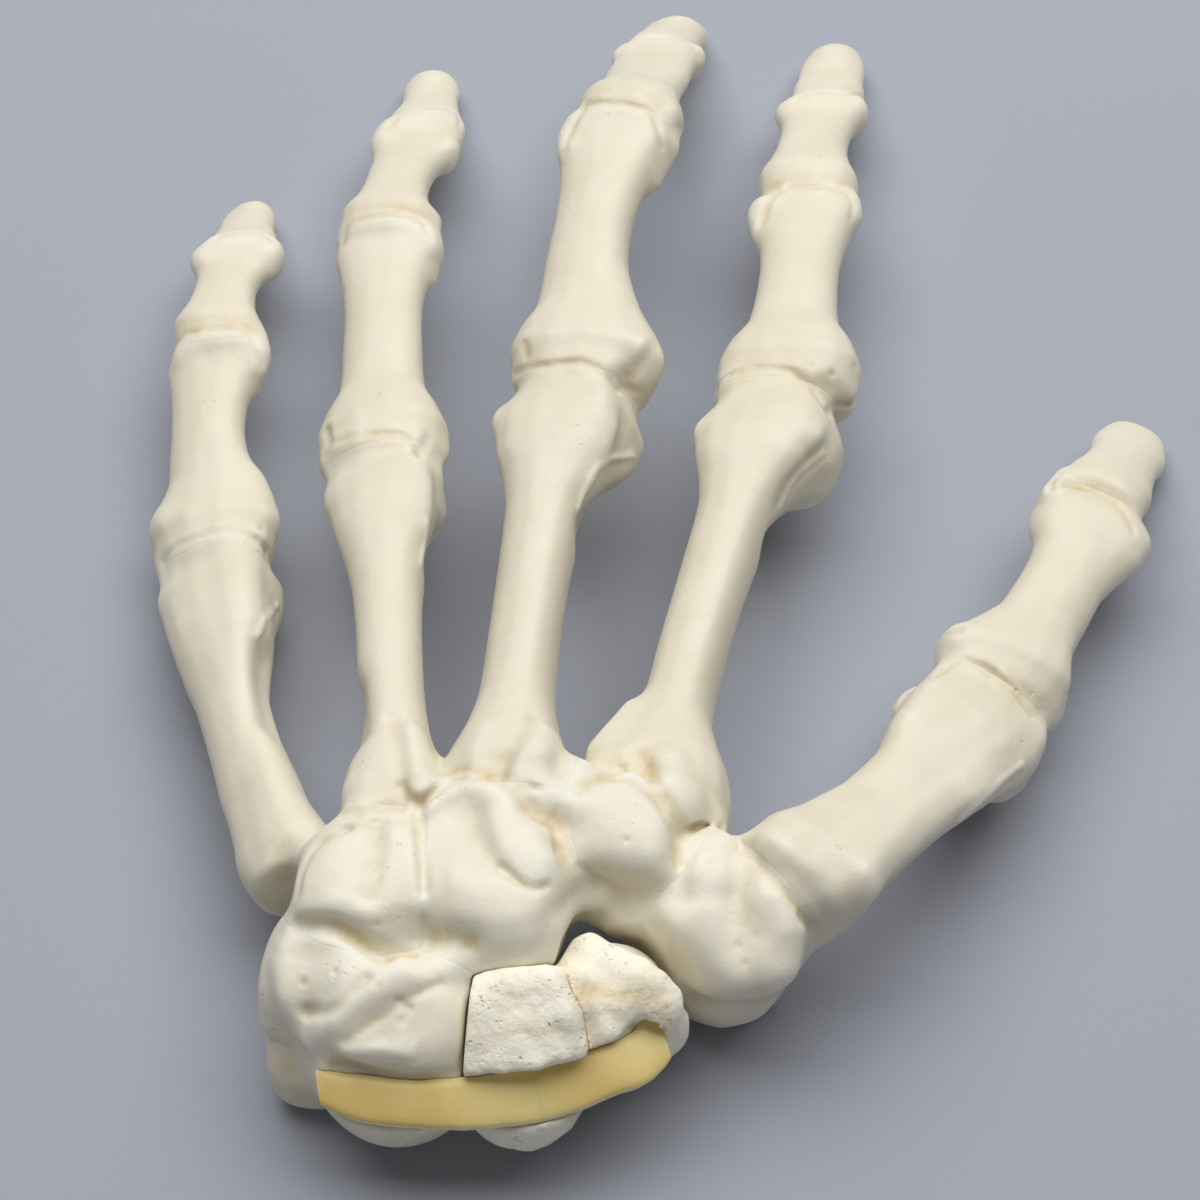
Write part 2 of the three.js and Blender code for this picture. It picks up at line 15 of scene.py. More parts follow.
import bmesh
import bpy
import numpy as np
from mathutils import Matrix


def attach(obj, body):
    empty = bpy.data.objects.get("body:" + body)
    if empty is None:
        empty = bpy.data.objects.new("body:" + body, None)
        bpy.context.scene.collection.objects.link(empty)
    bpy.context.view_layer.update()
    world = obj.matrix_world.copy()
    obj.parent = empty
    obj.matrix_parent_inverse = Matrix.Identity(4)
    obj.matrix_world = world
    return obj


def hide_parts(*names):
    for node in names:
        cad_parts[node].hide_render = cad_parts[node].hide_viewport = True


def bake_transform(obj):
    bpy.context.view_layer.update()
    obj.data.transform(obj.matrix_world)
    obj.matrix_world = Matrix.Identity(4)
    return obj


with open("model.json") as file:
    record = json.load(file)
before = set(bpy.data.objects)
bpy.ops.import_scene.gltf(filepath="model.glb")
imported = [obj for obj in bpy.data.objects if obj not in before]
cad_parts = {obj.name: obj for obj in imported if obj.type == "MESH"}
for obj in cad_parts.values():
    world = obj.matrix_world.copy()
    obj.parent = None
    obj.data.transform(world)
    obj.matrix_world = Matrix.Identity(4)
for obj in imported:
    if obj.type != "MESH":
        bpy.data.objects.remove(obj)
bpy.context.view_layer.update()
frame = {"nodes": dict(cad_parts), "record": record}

import openvdb
from mathutils import Matrix

MM = 0.001
print("bones and strap pieces:", len(frame["nodes"]))

# %% [markdown]
# ## The camera
#
# A camera can be set by eye, but a photograph gives more: the bones' places in the picture fix where the
# lens was. A long lens from about half a metre, looking steeply down from the wrist's side, fits them all.
# With the same camera here, a pixel of the photograph is a line of sight to a place on the model.

# %% The camera
PHOTO_SIZE = 1200
LENS_PIXELS = 4000  # focal length, in pixels of the photograph
SENSOR = 36.0
CAMERA_PLACE = np.array([29.103, -312.949, 393.502])  # mm
CAMERA_HEADING = math.radians(6.457)  # to the left of +Y
CAMERA_DOWN = math.radians(52.116)

look = np.array([
    -math.sin(CAMERA_HEADING) * math.cos(CAMERA_DOWN),
    math.cos(CAMERA_HEADING) * math.cos(CAMERA_DOWN),
    -math.sin(CAMERA_DOWN),
])
right = np.array([math.cos(CAMERA_HEADING), math.sin(CAMERA_HEADING), 0.0])
above = np.cross(right, look)

camera = bpy.data.objects.new("camera", bpy.data.cameras.new("camera"))
camera.data.sensor_width = SENSOR
camera.data.lens = SENSOR * LENS_PIXELS / PHOTO_SIZE
camera.matrix_world = Matrix(
    [[*row, place * MM] for row, place in zip(np.array([right, above, -look]).T, CAMERA_PLACE)]
    + [[0, 0, 0, 1]]
)
bpy.context.scene.collection.objects.link(camera)
bpy.context.scene.camera = camera
print("lens:", camera.data.lens, "mm")


def sight(pixel):
    """The direction in which the photograph's camera sees a pixel."""
    across, down = pixel
    half = PHOTO_SIZE / 2
    line = look * LENS_PIXELS + right * (across - half) - above * (down - half)
    return line / np.linalg.norm(line)


# %% [markdown]
# ## Bones as distance fields
#
# Bones have no edges or flat faces to start a polygon model from. A sculptor would push clay about, and a
# distance field is clay for a script: a grid of numbers that say how far each point lies outside the
# surface. Two bones melt together by mixing their numbers, a furrow is a small sum along a line, and the
# surface is drawn through the zeros at the end. OpenVDB, which comes with Blender, makes both turns.
#
# The grid that carries the bones' main forms is coarse, for speed. The carving gets one twice as fine.

# %% Fields from the frame's bones
FINE = 0.3  # mm between the points of the fine grid
COARSE = 2 * FINE
BAND = 5.0  # how far round a bone its field reaches


class Field:
    """Distances to a surface on a grid, in millimetres, below zero inside it."""

    def __init__(self, low, values, step):
        self.low = np.array(low)
        self.values = values
        self.step = step

    def sample(self, points):
        """The distance at any points, from the eight grid points round each."""
        places = np.asarray(points) / self.step - self.low
        places = np.clip(places, 0, np.array(self.values.shape) - 1.001)
        cell = places.astype(int)
        share = places - cell
        total = np.zeros(len(places))
        for corner in np.ndindex(2, 2, 2):
            weight = np.prod(np.where(corner, share, 1 - share), axis=1)
            total += weight * self.values[tuple((cell + corner).T)]
        return total


def node_field(node):
    """The field of one of the frame's bones, on the coarse grid."""
    mesh = frame["nodes"][node].data
    mesh.calc_loop_triangles()
    points = np.zeros(len(mesh.vertices) * 3, np.float32)
    mesh.vertices.foreach_get("co", points)
    corners = np.zeros(len(mesh.loop_triangles) * 3, np.int32)
    mesh.loop_triangles.foreach_get("vertices", corners)
    points, merged = np.unique(points.reshape(-1, 3).round(7), axis=0, return_inverse=True)
    points = (points / MM).astype(np.float32)
    grid = openvdb.FloatGrid.createLevelSetFromPolygons(
        points,
        triangles=merged.reshape(-1)[corners].reshape(-1, 3).astype(np.uint32),
        transform=openvdb.createLinearTransform(COARSE),
        halfWidth=BAND / COARSE,
    )
    low = np.floor((points.min(0) - BAND) / COARSE).astype(int)
    high = np.ceil((points.max(0) + BAND) / COARSE).astype(int)
    values = np.zeros(high - low, np.float32)
    grid.copyToArray(values, ijk=tuple(int(i) for i in low))
    return Field(low, values, COARSE)


def softened(values, passes):
    """A field with its corners rounded: each pass mixes every point with its neighbours."""
    for _ in range(passes):
        for axis in range(3):
            padded = np.pad(values, [(2, 2) if a == axis else (0, 0) for a in range(3)], mode="edge")
            cut = [np.take(padded, range(i, i + values.shape[axis]), axis) for i in range(5)]
            values = (cut[0] + 4 * cut[1] + 6 * cut[2] + 4 * cut[3] + cut[4]) / 16
    return values


def finer(field):
    """The same field on the fine grid, with a smooth curve through the coarse numbers."""
    values = field.values
    for axis in range(3):
        padded = np.pad(values, [(1, 1) if a == axis else (0, 0) for a in range(3)], mode="edge")
        count = values.shape[axis]
        cut = [np.take(padded, range(i, i + count - 1), axis) for i in range(4)]
        between = (9 * (cut[1] + cut[2]) - cut[0] - cut[3]) / 16
        shape = list(values.shape)
        shape[axis] = 2 * count - 1
        mixed = np.empty(shape, np.float32)
        at = [slice(None)] * 3
        at[axis] = slice(0, None, 2)
        mixed[tuple(at)] = values
        at[axis] = slice(1, None, 2)
        mixed[tuple(at)] = between
        values = mixed
    return Field(field.low * 2, values, FINE)


FRAGMENTS = ["scaphoid_proximal", "scaphoid_distal"]
bones = [name for name in sorted(frame["nodes"]) if not name.startswith("strap")]
cast_bones = [name for name in bones if name not in FRAGMENTS]
coarse = {name: node_field(name) for name in bones}
for field in coarse.values():
    field.values = softened(field.values, 1)
print("coarse points in the largest bone:", max(field.values.size for field in coarse.values()))

# %% [markdown]
# ## One casting
#
# The foam closed the joints, so the cast bones share one surface. A smooth minimum of their fields does
# that: where only one bone is near it changes nothing, and in the crevice between two it fills a fillet.
# Finger joints get a tight fillet and the wrist a softer one, with a smooth change between them.

# %% Melting the cast bones together
FINGER_FILLET = 1.1  # mm, how softly the finger bones run together at a joint
WRIST_FILLET = 1.7  # the wrist bones run together more, and their creases are carved again
WRIST_END = (-50.0, -42.0)  # mm along Y, where one turns into the other
PAD = 3  # grid points round the whole hand

lows = np.array([field.low for field in coarse.values()])
highs = np.array([field.low + field.values.shape for field in coarse.values()])
hand_low = lows.min(0) - PAD
hand_shape = tuple(highs.max(0) + PAD - hand_low)


def window(field, low):
    """Where a small field lies in a grid that starts at a low corner."""
    start = field.low - low
    return tuple(slice(a, a + n) for a, n in zip(start, field.values.shape))


nearest = np.full(hand_shape, BAND, np.float32)
second = np.full(hand_shape, BAND, np.float32)
owner = np.full(hand_shape, -1, np.int16)
crowds = {fillet: np.zeros(hand_shape, np.float32) for fillet in (FINGER_FILLET, WRIST_FILLET)}
for number, name in enumerate(cast_bones):
    field = coarse[name]
    there = window(field, hand_low)
    closer = field.values < nearest[there]
    second[there] = np.where(closer, nearest[there], np.minimum(second[there], field.values))
    owner[there] = np.where(closer, number, owner[there])
    nearest[there] = np.minimum(nearest[there], field.values)
    for fillet, crowd in crowds.items():
        crowd[there] += np.exp(-field.values / fillet) - math.exp(-BAND / fillet)
along = (np.arange(hand_shape[1]) + hand_low[1]) * COARSE
finger_share = np.clip((along - WRIST_END[0]) / (WRIST_END[1] - WRIST_END[0]), 0, 1)[None, :, None]
melted = 0
for (fillet, crowd), share in zip(crowds.items(), (finger_share, 1 - finger_share)):
    soft = -fillet * np.log(np.maximum(crowd, math.exp(-BAND / fillet)))
    melted = melted + share * np.minimum(nearest, soft)
melted = melted.astype(np.float32)
cast = finer(Field(hand_low, melted, COARSE))
print("points in the casting's grid:", cast.values.size)

# %% [markdown]
# ## Carving
#
# Each form on the bones is a stroke: a line of points, a width, and how far it raises or lowers the
# surface. The points are where pixels of the photograph look at the surface. A stroke's section is a bell,
# which melts into the bone at its edges; a fourth number of 3 gives it a flatter top and steeper sides.

# %% The carving tools
SIGHT_TOP = 30.0  # mm above the table, where a sight line starts to look for a surface
SIGHT_BOTTOM = -1.0
SIGHT_STEPS = 400
CREASE_WIDTH = 0.6  # mm, narrower strokes are creases
CREASE_WAVE = 0.17  # how uneven a crease is along its way
STROKE_REACH = 2.6  # times a stroke's width, where it has faded out


def seen(field, pixel):
    """Where the sight line through a pixel of the photograph meets a surface, or passes it closest."""
    line = sight(pixel)
    start = (CAMERA_PLACE[2] - SIGHT_TOP) / -line[2]
    end = (CAMERA_PLACE[2] - SIGHT_BOTTOM) / -line[2]
    steps = np.linspace(start, end, SIGHT_STEPS)
    values = field.sample(CAMERA_PLACE + steps[:, None] * line)
    first = int(np.argmax(values < 0)) if (values < 0).any() else int(np.argmin(values))
    return CAMERA_PLACE + steps[first] * line


def slow_waves(points):
    """Slow waves through space, between -3 and 3."""
    x, y, z = np.moveaxis(points, -1, 0)
    return np.sin(0.9 * x + 0.5 * y) + np.sin(1.2 * y - 0.7 * z) + np.sin(0.8 * z + 1.5 * x)


def stroke(field, line, width, height, power=2.0):
    """Raises the surface along a line, or lowers it where the height is below zero."""
    line = np.asarray(line, float).reshape(-1, 3)
    reach = STROKE_REACH * width
    low = np.floor((line.min(0) - reach) / field.step).astype(int) - field.low
    high = np.ceil((line.max(0) + reach) / field.step).astype(int) - field.low
    low = np.maximum(low, 0)
    high = np.minimum(high, field.values.shape)
    if (high <= low).any():
        return
    grids = np.meshgrid(*[np.arange(a, b) for a, b in zip(low, high)], indexing="ij")
    points = (np.stack(grids, axis=-1) + field.low) * field.step
    nearest_way = np.full(points.shape[:3], 1e9)
    ends = line if len(line) > 1 else np.vstack([line, line])
    for a, b in zip(ends[:-1], ends[1:]):
        way = b - a
        share = np.clip((points - a) @ way / max(way @ way, 1e-9), 0, 1)
        nearest_way = np.minimum(nearest_way, np.linalg.norm(points - a - share[..., None] * way, axis=-1))
    there = tuple(slice(a, b) for a, b in zip(low, high))
    pushed = height * np.exp(-0.5 * (nearest_way / width) ** power)
    if width < CREASE_WIDTH:
        pushed = pushed * (1 + CREASE_WAVE * slow_waves(points))
    field.values[there] -= pushed


def mend(names, fillet):
    """Some bones melted together as one field on the fine grid."""
    low = np.minimum.reduce([coarse[name].low for name in names])
    high = np.maximum.reduce([coarse[name].low + coarse[name].values.shape for name in names])
    closest = np.full(high - low, BAND, np.float32)
    crowd = np.zeros(high - low, np.float32)
    for name in names:
        there = window(coarse[name], low)
        closest[there] = np.minimum(closest[there], coarse[name].values)
        crowd[there] += np.exp(-coarse[name].values / fillet)
    soft = -fillet * np.log(np.maximum(crowd, math.exp(-BAND / fillet)))
    return finer(Field(low, np.minimum(closest, soft).astype(np.float32), COARSE))


def carve(field, marks):
    """Makes strokes whose lines are pixels of the photograph, from wide to narrow."""
    for pixels, width, height, *power in sorted(marks.values(), key=lambda mark: -mark[1]):
        stroke(field, [seen(field, pixel) for pixel in pixels], width, height, *power)


# %% [markdown]
# ## The wrist bones
#
# The wrist is where the model is read first: seven cast bones with ridges, furrows and a few bubbles. The
# broad forms come first and the creases last, as in clay. The bubbles' pits wait until all bones are carved.

# %% Carving the wrist
WRIST_FORMS = {
    "third_fourth_fill": ([(430, 795), (452, 790), (470, 785)], 1.6, 1.6),
    "second_third_fill": ([(574, 772), (580, 785), (572, 805)], 1.5, 2.2),
    "hamate_left_dome": ([(328, 862), (338, 888)], 3.0, 0.5),
    "hamate_right_plateau": ([(402, 832), (404, 862), (404, 900)], 1.9, 0.45),
    "hamate_furrow": ([(376, 824), (377, 848), (374, 872), (369, 892)], 0.95, -0.85),
    "hamate_capitate_fill": ([(412, 845), (414, 870), (416, 905)], 0.8, 0.25),
    "hamate_top_step": ([(318, 838), (334, 827), (352, 821)], 1.2, -0.7),
    "hamate_wall": ([(302, 885), (306, 906), (330, 907), (356, 910)], 1.3, 0.4),
    "hamate_under": ([(306, 924), (335, 926), (362, 938), (382, 952)], 0.85, -1.1),
    "capitate_rim": ([(428, 802), (441, 791), (465, 786), (495, 787), (513, 797)], 1.3, 0.6),
    "capitate_hollow": ([(466, 818), (469, 840), (476, 860)], 1.5, -0.6),
    "capitate_hook": ([(500, 803), (506, 828), (516, 848), (534, 868)], 2.2, 1.0, 3.0),
    "capitate_hook_shade": ([(479, 810), (484, 832), (490, 852), (500, 866)], 0.9, -0.3),
    "capitate_body": ([(465, 880), (480, 905), (500, 925)], 2.6, 0.7),
    "capitate_low_dent": ([(438, 937), (455, 936), (468, 939)], 1.2, -0.55),
    "capitate_low_lip": ([(400, 972), (440, 968), (480, 964), (520, 961), (545, 957)], 1.4, 1.0),
    "capitate_foot": ([(480, 982), (510, 975), (545, 968)], 1.2, 0.5),
    "thumb_side_fill": ([(754, 872), (766, 888), (780, 906), (790, 924)], 1.7, 1.4),
    "capitate_right": ([(542, 838), (550, 860), (556, 884)], 1.5, 1.0),
    "web_flat": ([(538, 905), (536, 935)], 1.8, 0.6),
    "web": ([(546, 955), (554, 932), (564, 914), (580, 901), (600, 896)], 1.0, 1.6),
    "triquetrum_dome": ([(318, 962)], 3.2, 0.8),
    "triquetrum_rim": ([(284, 950), (279, 975), (286, 1000), (302, 1028)], 1.1, 0.7),
    "triquetrum_side": ([(268, 985), (276, 1030), (290, 1070)], 1.5, -0.7),
    "triquetrum_right": ([(352, 975), (366, 980)], 1.6, 0.5),
    "trapezoid_dome": ([(604, 812), (620, 838), (640, 850)], 3.3, 0.9),
    "trapezoid_edge": ([(584, 852), (612, 858), (645, 864), (664, 868)], 1.5, 0.6),
    "saddle_fill": ([(612, 918), (640, 928), (664, 918)], 2.6, 1.4),
    "saddle_low": ([(632, 940), (655, 955), (672, 978)], 1.9, 1.8),
    "saddle_left_fill": ([(570, 878), (584, 892)], 1.4, 1.2),
    "saddle_shade": ([(600, 886), (620, 892), (642, 898), (664, 905)], 1.7, -0.9),
    "trapezium_bump": ([(711, 850), (712, 872)], 2.3, 1.1, 3.0),
    "trapezium_column": ([(704, 915), (702, 945)], 2.4, 0.7),
    "trapezium_shelf": ([(735, 978), (762, 974), (785, 958)], 2.6, 1.7),
    "trapezium_valley": ([(679, 838), (678, 865), (681, 895)], 1.1, -0.8),
    "trapezium_knob": ([(772, 905), (784, 935), (780, 965)], 2.3, 1.7, 3.0),
    "trapezium_fall": ([(741, 850), (743, 885), (738, 915), (736, 945)], 1.3, -0.6),
    "trapezium_step": ([(694, 1000), (740, 1006), (790, 996)], 1.3, -0.9),
    "trapezium_brow": ([(690, 980), (740, 986), (790, 975)], 1.5, 0.6),
    "trapezium_low_cut": ([(752, 1040), (772, 1024), (792, 1008)], 2.0, -2.2),
    "trapezium_left_cut": ([(700, 1050)], 1.8, -0.8),
    "lunate_ridge": ([(312, 1040), (332, 1020), (352, 1001), (376, 986), (402, 970)], 1.1, 1.0),
    "lunate_hollow": ([(385, 1022), (420, 1015)], 2.8, -0.6),
    "lunate_ripples": ([(346, 1054), (380, 1050), (410, 1049)], 0.7, 0.25),
    "lunate_lower": ([(335, 1066), (370, 1068), (400, 1068)], 0.8, -0.15),
    "lunate_hem": ([(330, 1064), (370, 1069), (410, 1071), (452, 1070)], 1.6, -0.9),
    "thumb_base_lobe": ([(812, 905), (835, 896), (858, 890)], 1.8, 0.9),
    "thumb_rim": ([(770, 850), (786, 868), (802, 888)], 1.5, 0.8),
    "thumb_wall_fill": ([(784, 862), (796, 880), (808, 900)], 1.5, 1.4),
}
WRIST_CREASES = {
    "hamate_capitate": ([(419, 806), (419, 826), (420, 845), (422, 865), (423, 890)], 0.42, -0.75),
    "hamate_capitate_low": ([(423, 890), (425, 925), (428, 950)], 0.38, -0.25),
    "hamate_triquetrum": (
        [(296, 924), (322, 924), (340, 928), (354, 937), (371, 950), (386, 961)],
        0.55,
        -1.5,
    ),
    "hamate_corner": ([(384, 960), (396, 955), (413, 955)], 0.5, -0.6),
    "capitate_crease": ([(500, 868), (508, 873), (520, 883), (532, 889), (546, 886)], 0.4, -0.6),
    "capitate_third": ([(504, 781), (518, 793), (528, 808), (543, 820), (556, 822)], 0.85, -0.7),
    "capitate_third_low": ([(548, 836), (556, 850), (562, 866)], 0.8, -0.3),
    "capitate_top": ([(422, 803), (434, 789), (450, 781), (475, 777), (500, 779)], 0.45, -0.8),
    "trapezoid_ring": ([(578, 792), (594, 782), (612, 777), (632, 781), (650, 794), (664, 812)], 0.5, -0.6),
    "trapezoid_right": ([(668, 822), (675, 840), (677, 862)], 0.5, -0.5),
    "trapezoid_side": ([(563, 812), (560, 835), (565, 856)], 0.8, -0.3),
    "trapezoid_dents": ([(580, 866), (590, 872), (600, 876)], 0.35, -0.4),
    "bump_ring": ([(684, 834), (696, 826), (716, 825), (733, 832), (742, 848)], 0.45, -0.45),
    "thumb_groove": ([(750, 852), (764, 866), (778, 886), (792, 899), (802, 912)], 0.5, -0.55),
    "thumb_slit": ([(802, 917), (812, 924)], 0.5, -0.9),
    "triquetrum_lunate": ([(306, 1012), (325, 1013), (340, 1005), (352, 992), (366, 978)], 0.5, -0.8),
    "lunate_low_ridge": ([(320, 1036), (350, 1015), (380, 997), (410, 981), (442, 970)], 0.8, 0.24),
    "lunate_fold": ([(346, 1041), (372, 1023), (397, 1007), (420, 992), (440, 984)], 0.42, -0.2),
    "lunate_lip": ([(352, 1051), (380, 1049), (408, 1055)], 0.45, 0.2),
    "capitate_band": ([(434, 937), (452, 935), (472, 943)], 0.8, -0.25),
    "lunate_line": ([(400, 1002), (408, 1010), (402, 1020)], 0.35, -0.3),
    "lunate_top": ([(470, 984), (490, 979), (515, 976), (545, 972)], 0.4, -0.4),
    "fifth_hamate": ([(297, 892), (302, 868), (312, 851), (326, 839), (346, 831)], 0.5, -0.8),
    "fourth_hamate": ([(346, 831), (370, 824), (400, 820), (418, 820)], 0.5, -0.35),
}
carve(cast, WRIST_FORMS)
carve(cast, WRIST_CREASES)
print("strokes on the wrist:", len(WRIST_FORMS) + len(WRIST_CREASES))

# %% [markdown]
# ## The feet of the metacarpals
#
# Each of these ends in a wedge that is split by a shallow valley on its back, with a lip over the wrist.

# %% Carving the metacarpals' feet
FOOT_FORMS = {
    "fourth_left_fall": ([(352, 700), (356, 735)], 1.8, -1.4),
    "fourth_left_lobe": ([(352, 795), (356, 818)], 1.9, 0.7),
    "fourth_valley": ([(394, 718), (399, 738), (402, 757), (403, 776), (403, 788)], 0.85, -0.55),
    "fourth_right_lobe": ([(414, 735), (417, 760), (419, 784)], 1.5, 0.8, 3.0),
    "third_left_lobe": ([(470, 755), (480, 735)], 1.8, 0.7),
    "third_valley": ([(533, 716), (525, 729), (517, 743), (508, 757), (503, 769)], 0.8, -0.45),
    "third_styloid": ([(545, 740), (534, 758), (530, 772), (540, 788)], 2.2, 1.0, 3.0),
    "second_left_flange": ([(598, 745), (608, 722), (622, 704)], 1.7, 1.5),
    "second_left_plate": ([(600, 760), (622, 752)], 1.6, 0.5),
    "second_valley": ([(646, 768), (656, 788), (667, 805), (678, 824)], 0.8, -0.75),
    "second_valley_top": ([(641, 752), (646, 768)], 0.8, -0.3),
    "second_bump": ([(668, 765), (676, 785), (688, 805)], 2.0, 0.9, 3.0),
    "second_low_fill": ([(700, 826), (712, 822)], 1.4, 0.8),
    "second_band": ([(632, 778), (645, 792), (658, 808), (668, 822)], 0.9, 0.35),
    "fifth_left_cut": ([(236, 800), (246, 850)], 2.0, -0.6),
    "fifth_right_lobe": ([(320, 822), (310, 835)], 1.4, 0.4),
    "thumb_base_top": ([(778, 838), (800, 862)], 2.2, 0.5),
}
FOOT_CREASES = {
    "fourth_groove_left": ([(344, 813), (360, 811), (380, 807), (402, 803)], 0.65, -0.4),
    "fourth_groove_right": ([(401, 786), (409, 798), (420, 801), (436, 792)], 0.45, -0.75),
    "third_groove": ([(446, 772), (462, 769), (476, 769), (490, 778)], 0.5, -0.55),
    "third_pit": ([(531, 786), (541, 789)], 0.4, -0.3),
    "second_groove": ([(582, 784), (598, 779), (612, 773), (622, 769)], 0.45, -0.35),
    "second_foot_low": ([(678, 838), (688, 829), (698, 824)], 0.4, -0.35),
    "third_trapezoid": ([(556, 850), (552, 822), (560, 800), (575, 785)], 0.5, -0.3),
    "fourth_capitate": ([(420, 804), (432, 796), (440, 786)], 0.5, -0.6),
}
carve(cast, FOOT_FORMS)
carve(cast, FOOT_CREASES)
print("strokes on the feet:", len(FOOT_FORMS) + len(FOOT_CREASES))

# %% [markdown]
# ## The knuckles
#
# A metacarpal's head is not a ball: seen from the back it has a flat facet on each side, a small bump where
# the ligament holds, and two lobes below on the palm side that end suddenly where the shaft begins.

# %% Carving the knuckles
KNUCKLE_FORMS = {
    "fifth_fill": ([(168, 572), (181, 557), (201, 546), (225, 540), (252, 541)], 1.6, 1.1),
    "fourth_fill": ([(333, 464), (342, 450), (363, 443), (395, 439), (416, 446)], 1.6, 1.1),
    "third_fill": ([(520, 384), (545, 373), (580, 366), (604, 367)], 1.4, 0.8),
    "second_fill": ([(722, 393), (738, 381), (776, 376), (808, 381), (824, 397)], 1.4, 0.8),
    "thumb_fill": ([(944, 668), (970, 663), (1000, 680), (1024, 704)], 1.2, 0.5),
    "second_left_bump": ([(699, 430)], 1.5, 0.7),
    "second_right_bump": ([(816, 436)], 1.4, 0.6),
    "second_recess": ([(824, 450), (808, 464), (792, 484), (780, 504)], 1.0, -0.6),
    "second_lobe": ([(830, 460), (822, 492), (808, 504)], 2.0, 0.9),
    "second_lobe_trim": ([(856, 470), (850, 500)], 1.8, -1.0),
    "second_neck_cut": ([(800, 526), (784, 534), (770, 548)], 1.7, -2.0),
    "third_left_bump": ([(497, 420)], 1.6, 0.9),
    "third_ridge": ([(596, 378), (605, 400), (610, 430), (602, 455), (590, 480)], 1.3, 0.6),
    "third_facet": ([(624, 422), (622, 442)], 1.8, -0.3),
    "third_lobe": ([(628, 468), (612, 478), (600, 484)], 1.7, 0.6),
    "third_neck_cut": ([(606, 504), (592, 514), (582, 532)], 1.5, -1.4),
    "fourth_ridge": ([(414, 452), (424, 480), (427, 505), (423, 525)], 1.1, 0.5),
    "fourth_facet": ([(437, 470), (440, 490)], 1.4, -0.4),
    "fourth_left_bump": ([(327, 470), (330, 500)], 1.8, 0.8),
    "fourth_neck_cut": ([(440, 545), (436, 570)], 1.8, -1.5),
    "fifth_ridge": ([(238, 548), (246, 580), (252, 612)], 1.6, 0.25),
    "fifth_facet": ([(270, 565), (272, 590)], 1.8, -0.25),
    "fifth_lobe": ([(268, 615), (266, 635)], 1.6, 0.4),
    "fifth_neck_cut": ([(268, 660), (268, 690), (272, 720)], 1.8, -1.5),
    "fifth_left_bump": ([(164, 570), (160, 600)], 1.8, 0.7),
    "thumb_lobe": ([(975, 795), (1000, 785), (1026, 765)], 1.6, 0.9),
    "thumb_head_left": ([(925, 690), (910, 715)], 1.8, 0.6),
    "thumb_shaft_cut_top": ([(830, 800), (862, 782)], 2.0, -0.9),
    "thumb_shaft_low": ([(950, 810), (915, 832), (888, 853), (868, 876)], 2.3, 1.7),
}
KNUCKLE_CREASES = {
    "second_crease": (
        [(717, 390), (723, 382), (735, 373), (760, 367), (790, 370), (812, 386), (821, 402), (831, 420)],
        0.38,
        -0.36,
    ),
    "third_crease": (
        [(514, 374), (525, 368), (555, 364), (580, 361), (600, 369), (614, 385), (623, 402)],
        0.38,
        -0.36,
    ),
    "fourth_crease": (
        [(326, 455), (330, 445), (344, 438), (375, 433), (402, 434), (414, 442), (421, 455)],
        0.38,
        -0.36,
    ),
    "fifth_crease": (
        [(163, 562), (168, 552), (187, 541), (206, 533), (222, 530), (244, 532), (259, 541), (267, 553)],
        0.38,
        -0.36,
    ),
    "thumb_crease": (
        [(934, 677), (948, 666), (964, 659), (993, 674), (1011, 688), (1028, 712), (1039, 740)],
        0.38,
        -0.36,
    ),
    "second_parting": ([(822, 453), (800, 472), (790, 484), (779, 507)], 0.3, 0.5),
    "third_parting": ([(633, 456), (610, 459), (598, 467), (587, 486), (577, 510)], 0.3, 0.5),
    "fourth_parting": ([(427, 522), (424, 545), (420, 565)], 0.3, 0.4),
    "fifth_parting": ([(277, 606), (264, 620), (257, 636)], 0.3, 0.4),
    "thumb_parting": ([(960, 820), (978, 804), (1000, 782), (1022, 765)], 0.3, 0.6),
    "thumb_slit": ([(971, 661), (984, 667), (991, 673)], 0.45, -0.6),
}
carve(cast, KNUCKLE_FORMS)
carve(cast, KNUCKLE_CREASES)
print("strokes on the knuckles:", len(KNUCKLE_FORMS) + len(KNUCKLE_CREASES))

# %% [markdown]
# ## The finger bones
#
# At each joint the further bone's rim stands a little proud, like a collar that foam has crept under. The
# fills come first: they close the crevice between two bones, and the crease is then drawn where it shows.

